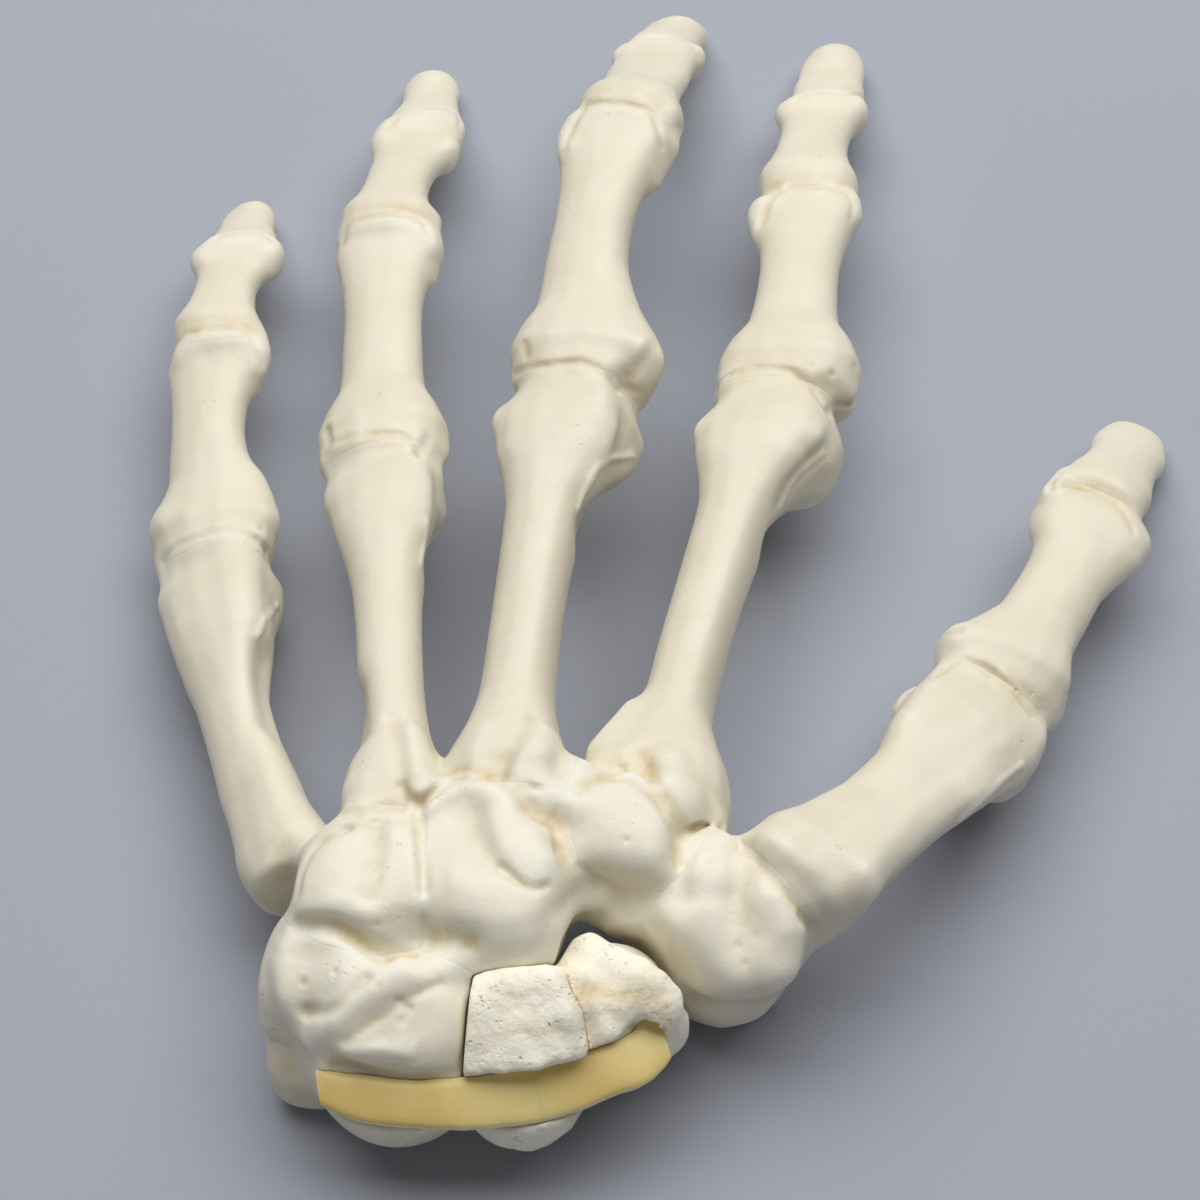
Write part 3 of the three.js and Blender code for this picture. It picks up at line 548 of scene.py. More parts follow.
# %% Carving the finger bones
FINGER_FORMS = {
    "fifth_base_left": ([(157, 520)], 1.6, 0.6),
    "fifth_base_right": ([(272, 515), (262, 480)], 1.8, 0.9),
    "fourth_base_right": ([(440, 455), (436, 475)], 1.5, 1.1),
    "third_base_right": ([(650, 355), (650, 380), (640, 400)], 1.9, 1.2),
    "third_base_crease": ([(655, 345), (645, 360), (632, 374)], 0.8, -0.7),
    "second_base_right": ([(848, 395), (846, 412)], 1.5, 0.8),
    "second_base_left": ([(726, 380)], 1.4, 0.6),
    "thumb_base_left": ([(945, 650), (955, 640)], 1.6, 1.2),
    "thumb_base_right": ([(1046, 722), (1042, 740)], 1.8, 1.1),
    "thumb_base_trim": ([(1080, 664), (1076, 694)], 1.5, -0.8),
    "thumb_second_bump": ([(1036, 526)], 1.7, 1.2),
    "thumb_tip_lump": ([(1060, 476), (1054, 490)], 1.1, 1.1),
    "second_fill": ([(770, 203), (786, 195), (826, 192), (851, 198)], 1.1, 0.6),
    "second_far_fill": ([(783, 112), (800, 102), (826, 100), (857, 105)], 1.4, 1.0),
    "second_wing": ([(758, 205), (755, 220), (757, 233)], 1.1, 0.9),
    "second_right_wing": ([(858, 205), (857, 216)], 1.0, 0.5),
    "second_tip": ([(835, 54)], 2.2, 1.3),
    "third_fill": ([(584, 121), (606, 113), (641, 113), (666, 124)], 1.3, 0.9),
    "third_far_fill": ([(619, 54), (640, 45), (668, 45), (698, 52)], 1.2, 0.8),
    "third_wing": ([(566, 118), (563, 132), (564, 148)], 1.2, 0.9),
    "third_right_wing": ([(672, 112), (676, 130), (673, 148)], 1.2, 1.1),
    "third_palm_lobe": ([(662, 168), (655, 184)], 1.4, 1.2),
    "third_tip": ([(680, 24)], 2.2, 1.2),
    "fourth_fill": ([(344, 242), (358, 230), (392, 225), (424, 231)], 1.3, 1.0),
    "fourth_far_fill": ([(382, 140), (392, 128), (422, 122), (455, 128)], 1.6, 1.4),
    "fourth_right_wing": ([(436, 222), (438, 238), (434, 248)], 1.1, 0.8),
    "fourth_palm_lobe": ([(436, 262), (432, 280)], 1.3, 1.0),
    "fourth_far_lobe": ([(452, 150), (450, 170)], 1.3, 0.9),
    "fourth_tip": ([(432, 80)], 2.2, 1.2),
    "fifth_fill": ([(184, 354), (206, 343), (240, 340), (258, 350)], 1.3, 1.0),
    "fifth_far_fill": ([(200, 258), (214, 247), (250, 243), (272, 250)], 1.5, 1.2),
    "fifth_right_wing": ([(262, 338), (265, 352), (262, 364)], 1.1, 0.9),
    "fifth_palm_lobe": ([(258, 375), (254, 388)], 1.3, 1.0),
    "fifth_far_lobe": ([(272, 252), (272, 270)], 1.3, 0.9),
    "fifth_tip": ([(255, 210)], 2.1, 1.2),
}
FINGER_CREASES = {
    "thumb_far": ([(1052, 489), (1069, 485), (1093, 491), (1116, 503), (1128, 517), (1134, 532)], 0.36, -0.3),
    "thumb_tip_slit": ([(1060, 473), (1054, 479), (1051, 487)], 0.35, -0.5),
    "thumb_hole": ([(948, 632), (958, 628)], 0.5, -0.6),
    "second": (
        [(757, 236), (761, 224), (767, 205), (775, 195), (790, 188),
         (830, 188), (847, 193), (853, 204), (851, 218)],
        0.36,
        -0.36,
    ),
    "second_far": ([(800, 98), (810, 94), (850, 94), (863, 98)], 0.36, -0.3),
    "third": (
        [(564, 150), (571, 130), (580, 113), (586, 104), (610, 103),
         (645, 108), (653, 114), (658, 130), (662, 146)],
        0.36,
        -0.36,
    ),
    "third_far": ([(614, 48), (625, 40), (650, 38), (690, 44), (700, 55)], 0.36, -0.3),
    "fourth": (
        [(343, 243), (346, 229), (357, 220), (384, 214), (412, 217), (423, 222), (427, 232)],
        0.36,
        -0.36,
    ),
    "fourth_far": ([(391, 127), (398, 116), (414, 109), (448, 109), (458, 115), (460, 126)], 0.36, -0.3),
    "fifth": (
        [(176, 344), (183, 335), (198, 331), (222, 327), (239, 328), (249, 336), (255, 353), (261, 365)],
        0.36,
        -0.36,
    ),
    "fifth_far": ([(215, 240), (221, 235), (240, 233), (266, 235), (273, 241)], 0.36, -0.3),
    "fourth_slit": ([(327, 430), (329, 441)], 0.4, -0.6),
    "fourth_lobe": ([(428, 438), (418, 455)], 0.5, -0.6),
    "third_slit": ([(524, 344), (527, 356)], 0.4, -0.6),
    "third_parting_base": ([(615, 390), (630, 387), (638, 392)], 0.32, -0.4),
    "second_lobe_groove": ([(826, 413), (842, 404), (859, 399)], 0.42, -0.5),
}
carve(cast, FINGER_FORMS)
carve(cast, FINGER_CREASES)
print("strokes on the fingers:", len(FINGER_FORMS) + len(FINGER_CREASES))

# %% [markdown]
# ## Bubbles
#
# Air that is caught against the mould leaves small round pits in the skin. Real ones could be thrown at
# random, but a few stand out in the photograph, so each has its own place.

# %% Pits in the skin
PITS = {
    "hamate": [(378, 925), (340, 930), (355, 938)],
    "trapezoid": [(627, 840), (590, 866)],
    "trapezium": [(710, 848), (712, 863), (738, 945), (745, 963)],
    "triquetrum": [(303, 982), (335, 972)],
    "lunate": [(378, 985), (398, 1000), (410, 1008)],
    "third_base": [(535, 788)],
    "fourth_proximal": [(377, 393)],
    "second_proximal": [(812, 365), (832, 374), (855, 366)],
    "fifth_proximal": [(262, 528), (256, 540)],
}
PIT_WIDTH = 0.27
PIT_DEPTH = -0.32
for pixels in PITS.values():
    for pixel in pixels:
        stroke(cast, [seen(cast, pixel)], PIT_WIDTH, PIT_DEPTH)
print("pits:", sum(len(pixels) for pixels in PITS.values()))

# %% [markdown]
# ## The strap
#
# A band of soft rubber is glued along the outer side of the three bones, and it is the hinge of the break.
# The two edges in the photograph give its outline, and its outer face leans back over the bones. It is
# drawn as a ribbon with round edges, in two lengths, one over each of the two gaps.

# %% The strap's outline
STRAP_TOP = [(317, 1069), (345, 1073), (402, 1079), (450, 1078), (490, 1074), (550, 1059), (622, 1038),
             (636, 1028), (645, 1015), (652, 1011)]
STRAP_BOTTOM = [(322, 1107), (350, 1119), (410, 1128), (450, 1130), (490, 1128), (562, 1117), (622, 1093),
                (648, 1083), (663, 1071), (671, 1060)]
STRAP_FOOT = np.array([
    [-29.84, -90.83], [-26.64, -92.03], [-22.94, -93.23], [-16.44, -93.53], [-8.44, -92.43],
    [-0.44, -90.03], [6.16, -87.03], [10.56, -81.33], [12.6, -78.3],
])  # mm, the line in plan that its outer face stands on
STRAP_FOOT_HEIGHT = 12.0  # mm
STRAP_LEAN = math.radians(64)  # from upright
FACE_POINTS = 400  # along the face, where the sight lines look for it
FACE_RISE = np.linspace(-3, 12, 151)  # mm up the face
EDGE_POINTS = 40
STRAP_STATIONS = 96


def along_line(points, count):
    """Points evenly along a line, on a curve that runs smoothly through the given ones."""
    points = np.asarray(points, float)
    points = points[np.r_[True, np.linalg.norm(np.diff(points, axis=0), axis=1) > 1e-6]]
    reached = np.concatenate([[0], np.cumsum(np.linalg.norm(np.diff(points, axis=0), axis=1))])
    slopes = np.gradient(points, reached, axis=0)
    wanted = np.linspace(0, reached[-1], count)
    k = np.clip(np.searchsorted(reached, wanted, side="right") - 1, 0, len(points) - 2)
    span = (reached[k + 1] - reached[k])[:, None]
    t = (wanted - reached[k])[:, None] / span
    held = (2 * t**3 - 3 * t**2 + 1) * points[k] + (3 * t**2 - 2 * t**3) * points[k + 1]
    return held + (t**3 - 2 * t**2 + t) * span * slopes[k] + (t**3 - t**2) * span * slopes[k + 1]


foot_line = along_line(np.c_[STRAP_FOOT, np.full(len(STRAP_FOOT), STRAP_FOOT_HEIGHT)], FACE_POINTS)
foot_way = np.gradient(foot_line, axis=0)
foot_way /= np.linalg.norm(foot_way, axis=1)[:, None]
inward = np.cross([0, 0, 1], foot_way)
uphill = np.array([0, 0, math.cos(STRAP_LEAN)]) + inward * math.sin(STRAP_LEAN)
outward = np.array([0, 0, math.sin(STRAP_LEAN)]) - inward * math.cos(STRAP_LEAN)
face = foot_line[:, None, :] + FACE_RISE[None, :, None] * uphill[:, None, :]
face_ways = face - CAMERA_PLACE
face_ways /= np.linalg.norm(face_ways, axis=2)[..., None]


def on_strap_face(pixel):
    """Where the strap's outer face is seen at a pixel, and the way out of the face there."""
    best = np.argmax(face_ways @ sight(pixel))
    station, step = np.unravel_index(best, face.shape[:2])
    return face[station, step], outward[station]


edges = {}
for side, pixels in (("top", STRAP_TOP), ("bottom", STRAP_BOTTOM)):
    found = [on_strap_face(pixel) for pixel in along_line(pixels, EDGE_POINTS)]
    edges[side] = along_line([place for place, way in found], STRAP_STATIONS)
    edges[side + "_way"] = along_line([way for place, way in found], STRAP_STATIONS)
widths = np.linalg.norm(edges["top"] - edges["bottom"], axis=1)
print("strap's width at its middle:", widths[STRAP_STATIONS // 2].round(1), "mm")

# %% [markdown]
# ## The strap's section
#
# A flat strap is a ribbon swept along its two edges. Its section is a box whose corners are drawn in by a
# power of a circle's sine and cosine, swollen a little on the outer face. Its edges wander by hundredths
# of a millimetre, as a strip does that was poured and cut by hand. The same sweep, a little larger, is the
# bed that the bones make room for.

# %% The strap's stations
STRAP_THICK = 2.4  # mm, most of it in the bed
STRAP_PROUD = 0.55  # mm, how far it stands out of the bones
STRAP_BULGE = 0.3  # mm, how far its outer face swells
EDGE_ROUND = 0.3  # how round its edges are, 1 is a half circle
HALF_RING = 14  # points round half of its section
TAPER = 3  # stations at an end over which the strap thins out
END_THIN = 0.12  # the square of the share of its thickness that is left at the very end
END_NARROW = 0.06  # the share of its width that it loses on the way there
WANDER = 0.05  # mm
WANDER_STEP = 7  # stations between two knots of the wandering
BED_REACH_HIGH = 1.7  # mm that the bones are cleared away beyond the strap's upper edge, to show its face
BED_REACH_LOW = 0.5  # mm beyond its lower edge, where the bones meet it closely
wave = np.random.default_rng(4)


def slow_noise(count, step):
    """Smooth random numbers along a line, about 1 in size."""
    knots = wave.normal(size=count // step + 3)
    return np.interp(np.arange(count) / step, np.arange(len(knots)), knots)


stations = []
bed = []
waviness = {side: WANDER * slow_noise(STRAP_STATIONS, WANDER_STEP) for side in ("top", "bottom", "face")}
for i in range(STRAP_STATIONS):
    top, bottom = edges["top"][i], edges["bottom"][i]
    way = edges["bottom_way"][i] / np.linalg.norm(edges["bottom_way"][i])
    across = top - bottom
    top = top + across / np.linalg.norm(across) * waviness["top"][i]
    bottom = bottom - across / np.linalg.norm(across) * waviness["bottom"][i]
    middle, half = (top + bottom) / 2, (top - bottom) / 2
    from_end = min(i, STRAP_STATIONS - 1 - i) / TAPER
    shrink = math.sqrt(max(END_THIN, 1 - max(0, 1 - from_end) ** 2))
    thick = STRAP_THICK / 2 * shrink
    half = half * (1 - END_NARROW * (1 - shrink))
    ring = []
    bed_ring = []
    for k in range(2 * HALF_RING):
        angle = math.pi * (k + 0.5) / HALF_RING
        up, out = math.cos(angle), math.sin(angle)
        up = math.copysign(abs(up) ** EDGE_ROUND, up)
        out = math.copysign(abs(out) ** EDGE_ROUND, out)
        lift = thick * (out - 1) + (STRAP_BULGE + waviness["face"][i]) * max(0, out) * (1 - up * up)
        ring.append(middle + half * up + way * (lift + STRAP_PROUD))
        bed_ring.append(ring[-1] + way * (BED_REACH_HIGH if up > 0 else BED_REACH_LOW) * (out > 0))
    stations.append(ring)
    bed.append(bed_ring)
stations = np.array(stations)
bed = np.array(bed)
strap_length = np.linalg.norm(np.diff(stations.mean(axis=1), axis=0), axis=1).sum()
print("strap's length:", strap_length.round(1), "mm")

# %% [markdown]
# ## From stations to a surface and a field
#
# The stations are skinned with four-sided faces. The visible lengths get closing faces of their own points,
# so that the shading stays sharp there. The bed's points become a field, to be cut out of the bones.

# %% Skinning the strap
STRAP_STAINS = [(330, 1092), (356, 1100), (384, 1104), (430, 1110), (600, 1075)]
STRAP_STAIN_SIZE = 3.2  # mm
RIM_POWER = 3  # how closely the strap's pale rim, painted light through its thin edges, keeps to its edge
BED_BAND = 2.4  # mm round the bed in which its distances are kept


def ribbon_faces(count, rows):
    """The faces along a tube of rows of points."""
    return [
        (a * count + k, a * count + (k + 1) % count, (a + 1) * count + (k + 1) % count, (a + 1) * count + k)
        for a in range(rows - 1)
        for k in range(count)
    ]


def ribbon(name, first, last):
    """A closed length of the strap between two stations."""
    rows = stations[first : last + 1]
    count = rows.shape[1]
    points = rows.reshape(-1, 3)
    body = len(points)
    points = np.vstack([points, rows[0], rows[-1]])
    round_section = np.pi * (np.arange(count) + 0.5) / HALF_RING
    # The pale rim is painted light, for light that shows through the strap's thin edges.
    rim = np.tile(np.abs(np.cos(round_section)) ** RIM_POWER, len(rows) + 2)
    stain_and_shade_here = np.zeros(len(points))
    for pixel in STRAP_STAINS:
        gap = np.linalg.norm(points - on_strap_face(pixel)[0], axis=1)
        stain_and_shade_here = np.maximum(stain_and_shade_here, np.exp(-0.5 * (gap / STRAP_STAIN_SIZE) ** 2))
    caps = [tuple(range(body, body + count))[::-1], tuple(range(body + count, body + 2 * count))]
    mesh = bpy.data.meshes.new(name)
    mesh.from_pydata((points * MM).tolist(), [], ribbon_faces(count, len(rows)) + caps)
    mesh.shade_smooth()
    bm = bmesh.new()
    bm.from_mesh(mesh)
    bmesh.ops.recalc_face_normals(bm, faces=bm.faces)
    bm.to_mesh(mesh)
    bm.free()
    note(mesh, "rim", rim)
    note(mesh, "stain_and_shade", stain_and_shade_here)
    piece = bpy.data.objects.new(name, mesh)
    bpy.context.scene.collection.objects.link(piece)
    return piece


def bed_field():
    """The field of the strap's bed, on the fine grid."""
    count = bed.shape[1]
    points = np.vstack([bed.reshape(-1, 3), bed[0].mean(0), bed[-1].mean(0)]).astype(np.float32)
    last = (len(bed) - 1) * count
    triangles = [t for a, b, c, d in ribbon_faces(count, len(bed)) for t in ((a, b, c), (a, c, d))]
    triangles += [(len(points) - 2, (k + 1) % count, k) for k in range(count)]
    triangles += [(len(points) - 1, last + k, last + (k + 1) % count) for k in range(count)]
    grid = openvdb.FloatGrid.createLevelSetFromPolygons(
        points,
        triangles=np.array(triangles, np.uint32),
        transform=openvdb.createLinearTransform(FINE),
        halfWidth=BED_BAND / FINE,
    )
    low = np.floor((points.min(0) - BED_BAND) / FINE).astype(int)
    high = np.ceil((points.max(0) + BED_BAND) / FINE).astype(int)
    values = np.zeros(high - low, np.float32)
    grid.copyToArray(values, ijk=tuple(int(i) for i in low))
    return Field(low, values, FINE)


# %% [markdown]
# ## The broken scaphoid
#
# The scaphoid is sculpted whole, as it was before it broke, and cut along the fracture afterwards, so that
# the two faces fit. Its forms are strokes too, on a field that melts its two halves together.

# %% Carving the scaphoid
SCAPHOID_FORMS = {
    "top": ([(480, 985), (512, 981), (548, 976)], 1.6, 1.8),
    "left": ([(474, 1003), (468, 1030), (464, 1062)], 1.5, 1.6),
    "middle": ([(566, 985), (576, 1010), (588, 1036)], 1.9, 1.6),
    "lower_ridge": ([(470, 1064), (512, 1060), (560, 1046), (600, 1036)], 1.5, -0.6),
    "face_dent": ([(490, 1038), (525, 1033), (555, 1031)], 1.1, -0.4),
    "upper_dent": ([(515, 1005), (545, 1008)], 1.6, -0.4),
    "corner": ([(563, 964), (576, 952), (586, 946)], 1.4, 2.0),
    "right": ([(672, 1008), (676, 1035)], 1.8, 1.4),
    "slope": ([(625, 934), (650, 948), (672, 966), (690, 990)], 1.9, -2.2),
    "hollow": ([(600, 1024), (618, 1024), (636, 1018)], 1.4, -0.5),
    "pitted_band": ([(588, 990), (610, 992), (635, 995), (658, 1000)], 0.9, -0.3),
    "strip": ([(562, 966), (574, 990), (584, 1012), (597, 1040)], 0.9, -0.75),
}
scaphoid = mend(FRAGMENTS, FINGER_FILLET)
carve(scaphoid, SCAPHOID_FORMS)
print("strokes on the scaphoid:", len(SCAPHOID_FORMS))

# %% [markdown]
# ## Crumbs
#
# Torn foam has no skin: its surface is crumbs and pores a millimetre or less across. A noise texture could
# fake them, but their outline shows, so random numbers are added to the field itself, in two sizes of
# grain. A fixed seed gives the same crumbs each time.

# %% Roughening the scaphoid
CRUMB_SEED = 7
CRUMB_HEIGHTS = {1: 0.035, 2: 0.06}  # mm, for grains of one and of two grid steps
crumbs = np.random.default_rng(CRUMB_SEED)
for size, height in CRUMB_HEIGHTS.items():
    grains = crumbs.normal(size=np.array(scaphoid.values.shape) // size + 2).astype(np.float32)
    grains = softened(grains, 1)
    for axis in range(3):
        grains = np.repeat(grains, size, axis)
    grains = softened(grains, size)[tuple(slice(0, n) for n in scaphoid.values.shape)]
    scaphoid.values += height * grains / grains.std()
print("crumbs, mm high:", list(CRUMB_HEIGHTS.values()))

# %% [markdown]
# ## The fracture
#
# A break through the waist of a scaphoid is a rough plane. It passes through the two places where the
# photograph shows its ends, and the near half leans over the far one, so that nobody looks into the gap.
# The waves that make the creases uneven make it wander.

# %% The fracture's face
BREAK_TOP = (556, 968)  # pixels where the fracture is seen to start and end
BREAK_LOW = (590, 1048)
BREAK_SLANT = 0.55  # how far the near half leans over, as a share of the height
BREAK_WAVE = 0.22  # mm for each unit of the waves
BREAK_WAVE_RATE = 1.6  # how much faster they go than a crease's

start, end = seen(scaphoid, BREAK_TOP), seen(scaphoid, BREAK_LOW)
sideways = np.cross((0, 0, 1), end - start)
across = np.cross((0, 0, 1) + BREAK_SLANT * sideways / np.linalg.norm(sideways), end - start)
across /= np.linalg.norm(across)
grids = np.meshgrid(*[np.arange(n) for n in scaphoid.values.shape], indexing="ij")
places = (np.stack(grids, axis=-1) + scaphoid.low) * FINE
break_side = (places - start) @ across + BREAK_WAVE * slow_waves(places * BREAK_WAVE_RATE)
print("the fracture runs from", start.round(1), "to", end.round(1), "mm")

# %% [markdown]
# ## Gaps
#
# The halves hang loose beside the casting. Half way between the casting's bones and the scaphoid lies a
# wall, and each side stops just short of it. The fracture has the same narrow gap.

# %% Parting the scaphoid from the casting
GAP_HALF = 0.055  # mm from the middle of a gap to each face


def spread(field, low, shape):
    """A field's values on a larger grid, with the band's width outside it."""
    values = np.full(shape, BAND, np.float32)
    values[window(field, low)] = field.values
    return values


apart = [spread(coarse[name], hand_low, hand_shape) for name in FRAGMENTS]
wall = finer(Field(hand_low, (nearest - np.minimum(*apart)) / 2, COARSE)).values
cast.values = np.maximum(cast.values, wall + GAP_HALF)
here = window(scaphoid, cast.low)
loose = {}
for name, side in zip(FRAGMENTS, (1, -1)):
    edge = np.maximum(side * break_side, -wall[here]) + GAP_HALF
    loose[name] = Field(scaphoid.low, np.maximum(scaphoid.values, edge).astype(np.float32), FINE)
print("gaps:", 2 * GAP_HALF, "mm")

# %% [markdown]
# ## Room to swing
#
# The distal half turns about a hinge in the strap, so the casting needs room on its far side. Where that
# is can be found by drawing, but the frame holds the hinge: the half's field is turned to the middle and
# to the end of its swing, and the casting is cut back by what it meets.

# %% Cutting room for the distal half
SWING_ROOM = 0.12  # mm between the casting and the half as it swings
hinges = {joint["name"]: joint for joint in frame["record"]["behaviour"]["joints"]}
swing = hinges["fracture_hinge"]
pivot = np.array(swing["pos_m"]) / MM
for degrees in (swing["range_deg"][1] / 2, swing["range_deg"][1]):
    turn = np.array(Matrix.Rotation(-math.radians(degrees), 3, swing["axis"]))
    turned = (places.reshape(-1, 3) - pivot) @ turn.T + pivot
    swung = loose["scaphoid_distal"].sample(turned).reshape(scaphoid.values.shape)
    cast.values[here] = np.maximum(cast.values[here], SWING_ROOM - swung)
print("the distal half swings", swing["range_deg"][1], "degrees")

# %% [markdown]
# ## The strap's bed
#
# The strap lies in a shallow bed that runs through the casting and both halves. Its field is cut out of
# theirs with a hair of room.

# %% Cutting the strap's bed
BED_GAP = 0.03  # mm between the strap and the bones
strap_bed = bed_field()
for field in (cast, *loose.values()):
    first = np.maximum(strap_bed.low, field.low)
    last = np.minimum(strap_bed.low + strap_bed.values.shape, field.low + field.values.shape)
    here = tuple(slice(a, b) for a, b in zip(first - field.low, last - field.low))
    there = tuple(slice(a, b) for a, b in zip(first - strap_bed.low, last - strap_bed.low))
    field.values[here] = np.maximum(field.values[here], BED_GAP - strap_bed.values[there])
print("points in the bed's grid:", strap_bed.values.size)

# %% [markdown]
# ## Stains and painted shade
#
# Yellow marks run along the creases, the gaps and the wrist's shaded side: partly resin that has run yellow
# into the joints, partly painted shade. The torn foam shows a yellow band with pores. Marks could be painted
# on an image, but strokes on an empty field do the same and stay tied to the forms: the materials read how
# strong a mark is at each point. These are soft marks, so the coarse grid carries them.

# %% Stains and painted shade
# Marks along creases, gaps and the wrist's shaded side: partly resin stain, partly painted shade.
STAINS_AND_PAINTED_SHADE = {
    "fourth_foot": ([(345, 812), (370, 809), (400, 808), (415, 803)], 0.9),
    "fourth_right": ([(402, 795), (415, 799), (430, 793)], 0.8),
    "third_foot": ([(448, 776), (475, 773), (500, 780)], 0.8),
    "third_side": ([(508, 780), (522, 800), (538, 815), (555, 824)], 1.2),
    "second_valley": ([(640, 757), (652, 778), (664, 800), (680, 832), (698, 830)], 0.9),
    "second_groove": ([(584, 782), (605, 778), (627, 772)], 0.8),
    "trapezoid_side": ([(556, 830), (560, 855), (568, 872)], 0.9),
    "hole_edge": ([(590, 925), (620, 936), (648, 955), (668, 972)], 1.0),
    "triquetrum": ([(340, 928), (358, 938), (374, 950), (388, 960), (412, 955)], 0.9),
    "wrist_side": ([(276, 1050), (285, 1080), (295, 1095)], 2.0),
    "second_arc": ([(738, 376), (752, 364), (770, 358), (790, 360), (805, 372), (815, 386)], 1.0),
    "fourth_base": ([(340, 448), (380, 438), (410, 442)], 0.8),
    "third_base": ([(530, 355), (550, 365), (575, 362), (600, 368)], 0.7),
    "thumb_base": ([(985, 662), (1005, 672), (1025, 695)], 0.8),
    "thumb_foot": ([(760, 868), (778, 886), (800, 905)], 0.9),
    "fifth_foot": ([(286, 850), (284, 875), (292, 900)], 1.0),
    "second_joint": ([(775, 186), (790, 180), (830, 180), (850, 188)], 1.0),
    "third_joint": ([(582, 103), (600, 96), (630, 98), (655, 106)], 1.0),
    "fourth_joint": ([(350, 216), (370, 208), (410, 209), (428, 218)], 1.0),
    "fifth_joint": ([(180, 329), (200, 322), (235, 321), (255, 332)], 1.0),
    "thumb_joint": ([(1062, 482), (1090, 485), (1118, 498), (1135, 520)], 1.0),
    "capitate_band": ([(434, 937), (452, 935), (472, 943)], 0.8),
    "lunate_gap": ([(472, 980), (466, 1020), (462, 1068)], 0.5),
}
stain_and_shade = Field(hand_low, np.zeros(hand_shape, np.float32), COARSE)
for pixels, width in STAINS_AND_PAINTED_SHADE.values():
    stroke(stain_and_shade, [seen(cast, pixel) for pixel in pixels], width, -1.0)
stain_and_shade.values = np.minimum(stain_and_shade.values, 1.0)
PORE_BANDS = {
    "distal_band": ([(588, 992), (612, 996), (640, 997), (662, 1004)], 1.0),
    "break_strip": ([(563, 966), (575, 985), (582, 1003), (591, 1022), (598, 1040)], 0.8),
}
for pixels, width in PORE_BANDS.values():
    stroke(stain_and_shade, [seen(scaphoid, pixel) for pixel in pixels], width, -1.0)
print("stains:", len(STAINS_AND_PAINTED_SHADE) + len(PORE_BANDS))

# %% [markdown]
# ## Pieces
#
# The casting is one surface, but a hand is taught bone by bone, so each bone stays a piece of its own. It
# is cut from the casting half way to its neighbours. Past the cut it dives under the neighbour's surface
# and ends there, so that no seam shows.

# %% Cutting the casting into bones
DIVE = 0.5  # mm that a bone dives under its neighbour for each mm past the cut
OVERLAP = 0.5  # mm past the cut, where it ends


def cut_bone(name):
    """One bone of the casting as a field of its own."""
    number = cast_bones.index(name)
    field = coarse[name]
    there = window(field, hand_low)
    others = np.where(owner[there] == number, second[there], nearest[there])
    past = finer(Field(field.low, ((field.values - others) / 2).astype(np.float32), COARSE))
    surface = cast.values[window(past, cast.low)]
    values = np.maximum(surface + DIVE * np.maximum(past.values, 0), past.values - OVERLAP)
    return Field(past.low, values, FINE)


# %% [markdown]
# ## From fields to meshes
#
# OpenVDB draws four-sided faces through the zeros of a field. They are sound but faintly woven, so each
# mesh is relaxed. What a material needs to know about a place, how hollow it is and how much stain and
# painted shade it has, is measured on the fields and kept at the mesh's points.

# %% Drawing a surface
RELAX_SHARES = (0.55, -0.57, 0.55, -0.57)  # in, then out again by a hair more, twice
HOLLOW_PASSES = 4
HOLLOW_CLIP = 2.0  # mm, distances beyond it don't count for how hollow a place is
HOLLOW_FULL = 0.15  # mm below its surroundings, where a crease gets its full yellow painted shade


def relaxed(points, quads):
    """The points moved a little to the middle of their neighbours, then back out, which keeps the size.

    It takes away the faint weave that the grid leaves on a smooth surface.
    """
    starts = quads.reshape(-1)
    ends = np.roll(quads, -1, axis=1).reshape(-1)
    count = np.bincount(starts, minlength=len(points))[:, None]
    for share in RELAX_SHARES:
        middle = [np.bincount(starts, points[ends, axis], len(points)) for axis in range(3)]
        points = points + share * (np.stack(middle, axis=1) / np.maximum(count, 1) - points)
    return points


def draw_surface(name, field):
    """A mesh through the zeros of a field, as a new object."""
    grid = openvdb.FloatGrid()
    values = np.pad(field.values, 1, constant_values=BAND).astype(np.float32)
    grid.copyFromArray(values, ijk=tuple(int(i) - 1 for i in field.low))
    grid.transform = openvdb.createLinearTransform(FINE)
    points, quads = grid.convertToQuads(0.0)
    points = relaxed(points.astype(float), quads.astype(np.int64))
    mesh = bpy.data.meshes.new(name)
    mesh.from_pydata((points * MM).tolist(), [], quads[:, ::-1].tolist())
    mesh.shade_smooth()
    piece = bpy.data.objects.new(name, mesh)
    bpy.context.scene.collection.objects.link(piece)
    return piece


def note(mesh, name, values):
    """Keeps a number at each of a mesh's points, for the materials to read."""
    mesh.attributes.new(name, "FLOAT", "POINT").data.foreach_set("value", values.astype(np.float32))


def mark_surface(piece, field):
    """Notes how hollow the surface is at each point, and how much stain and painted shade it has."""
    points = np.zeros(len(piece.data.vertices) * 3, np.float32)
    piece.data.vertices.foreach_get("co", points)
    points = points.reshape(-1, 3) / MM
    near = softened(np.clip(field.values, -HOLLOW_CLIP, HOLLOW_CLIP), HOLLOW_PASSES)
    around = Field(field.low, near, FINE)
    note(piece.data, "hollow", (field.sample(points) - around.sample(points)) / HOLLOW_FULL)
    note(piece.data, "stain_and_shade", stain_and_shade.sample(points))


# %% Drawing the bones
body_of = {
    node: body for body, nodes in frame["record"]["behaviour"]["bodies"].items() for node in nodes
}
pieces = {}
for name in bones:
    field = loose[name] if name in FRAGMENTS else cut_bone(name)
    piece = draw_surface(name + "_cast", field)
    mark_surface(piece, field)
    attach(piece, body_of[name])
    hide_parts(name)
    pieces[name] = piece
print("faces:", sum(len(piece.data.polygons) for piece in pieces.values()))
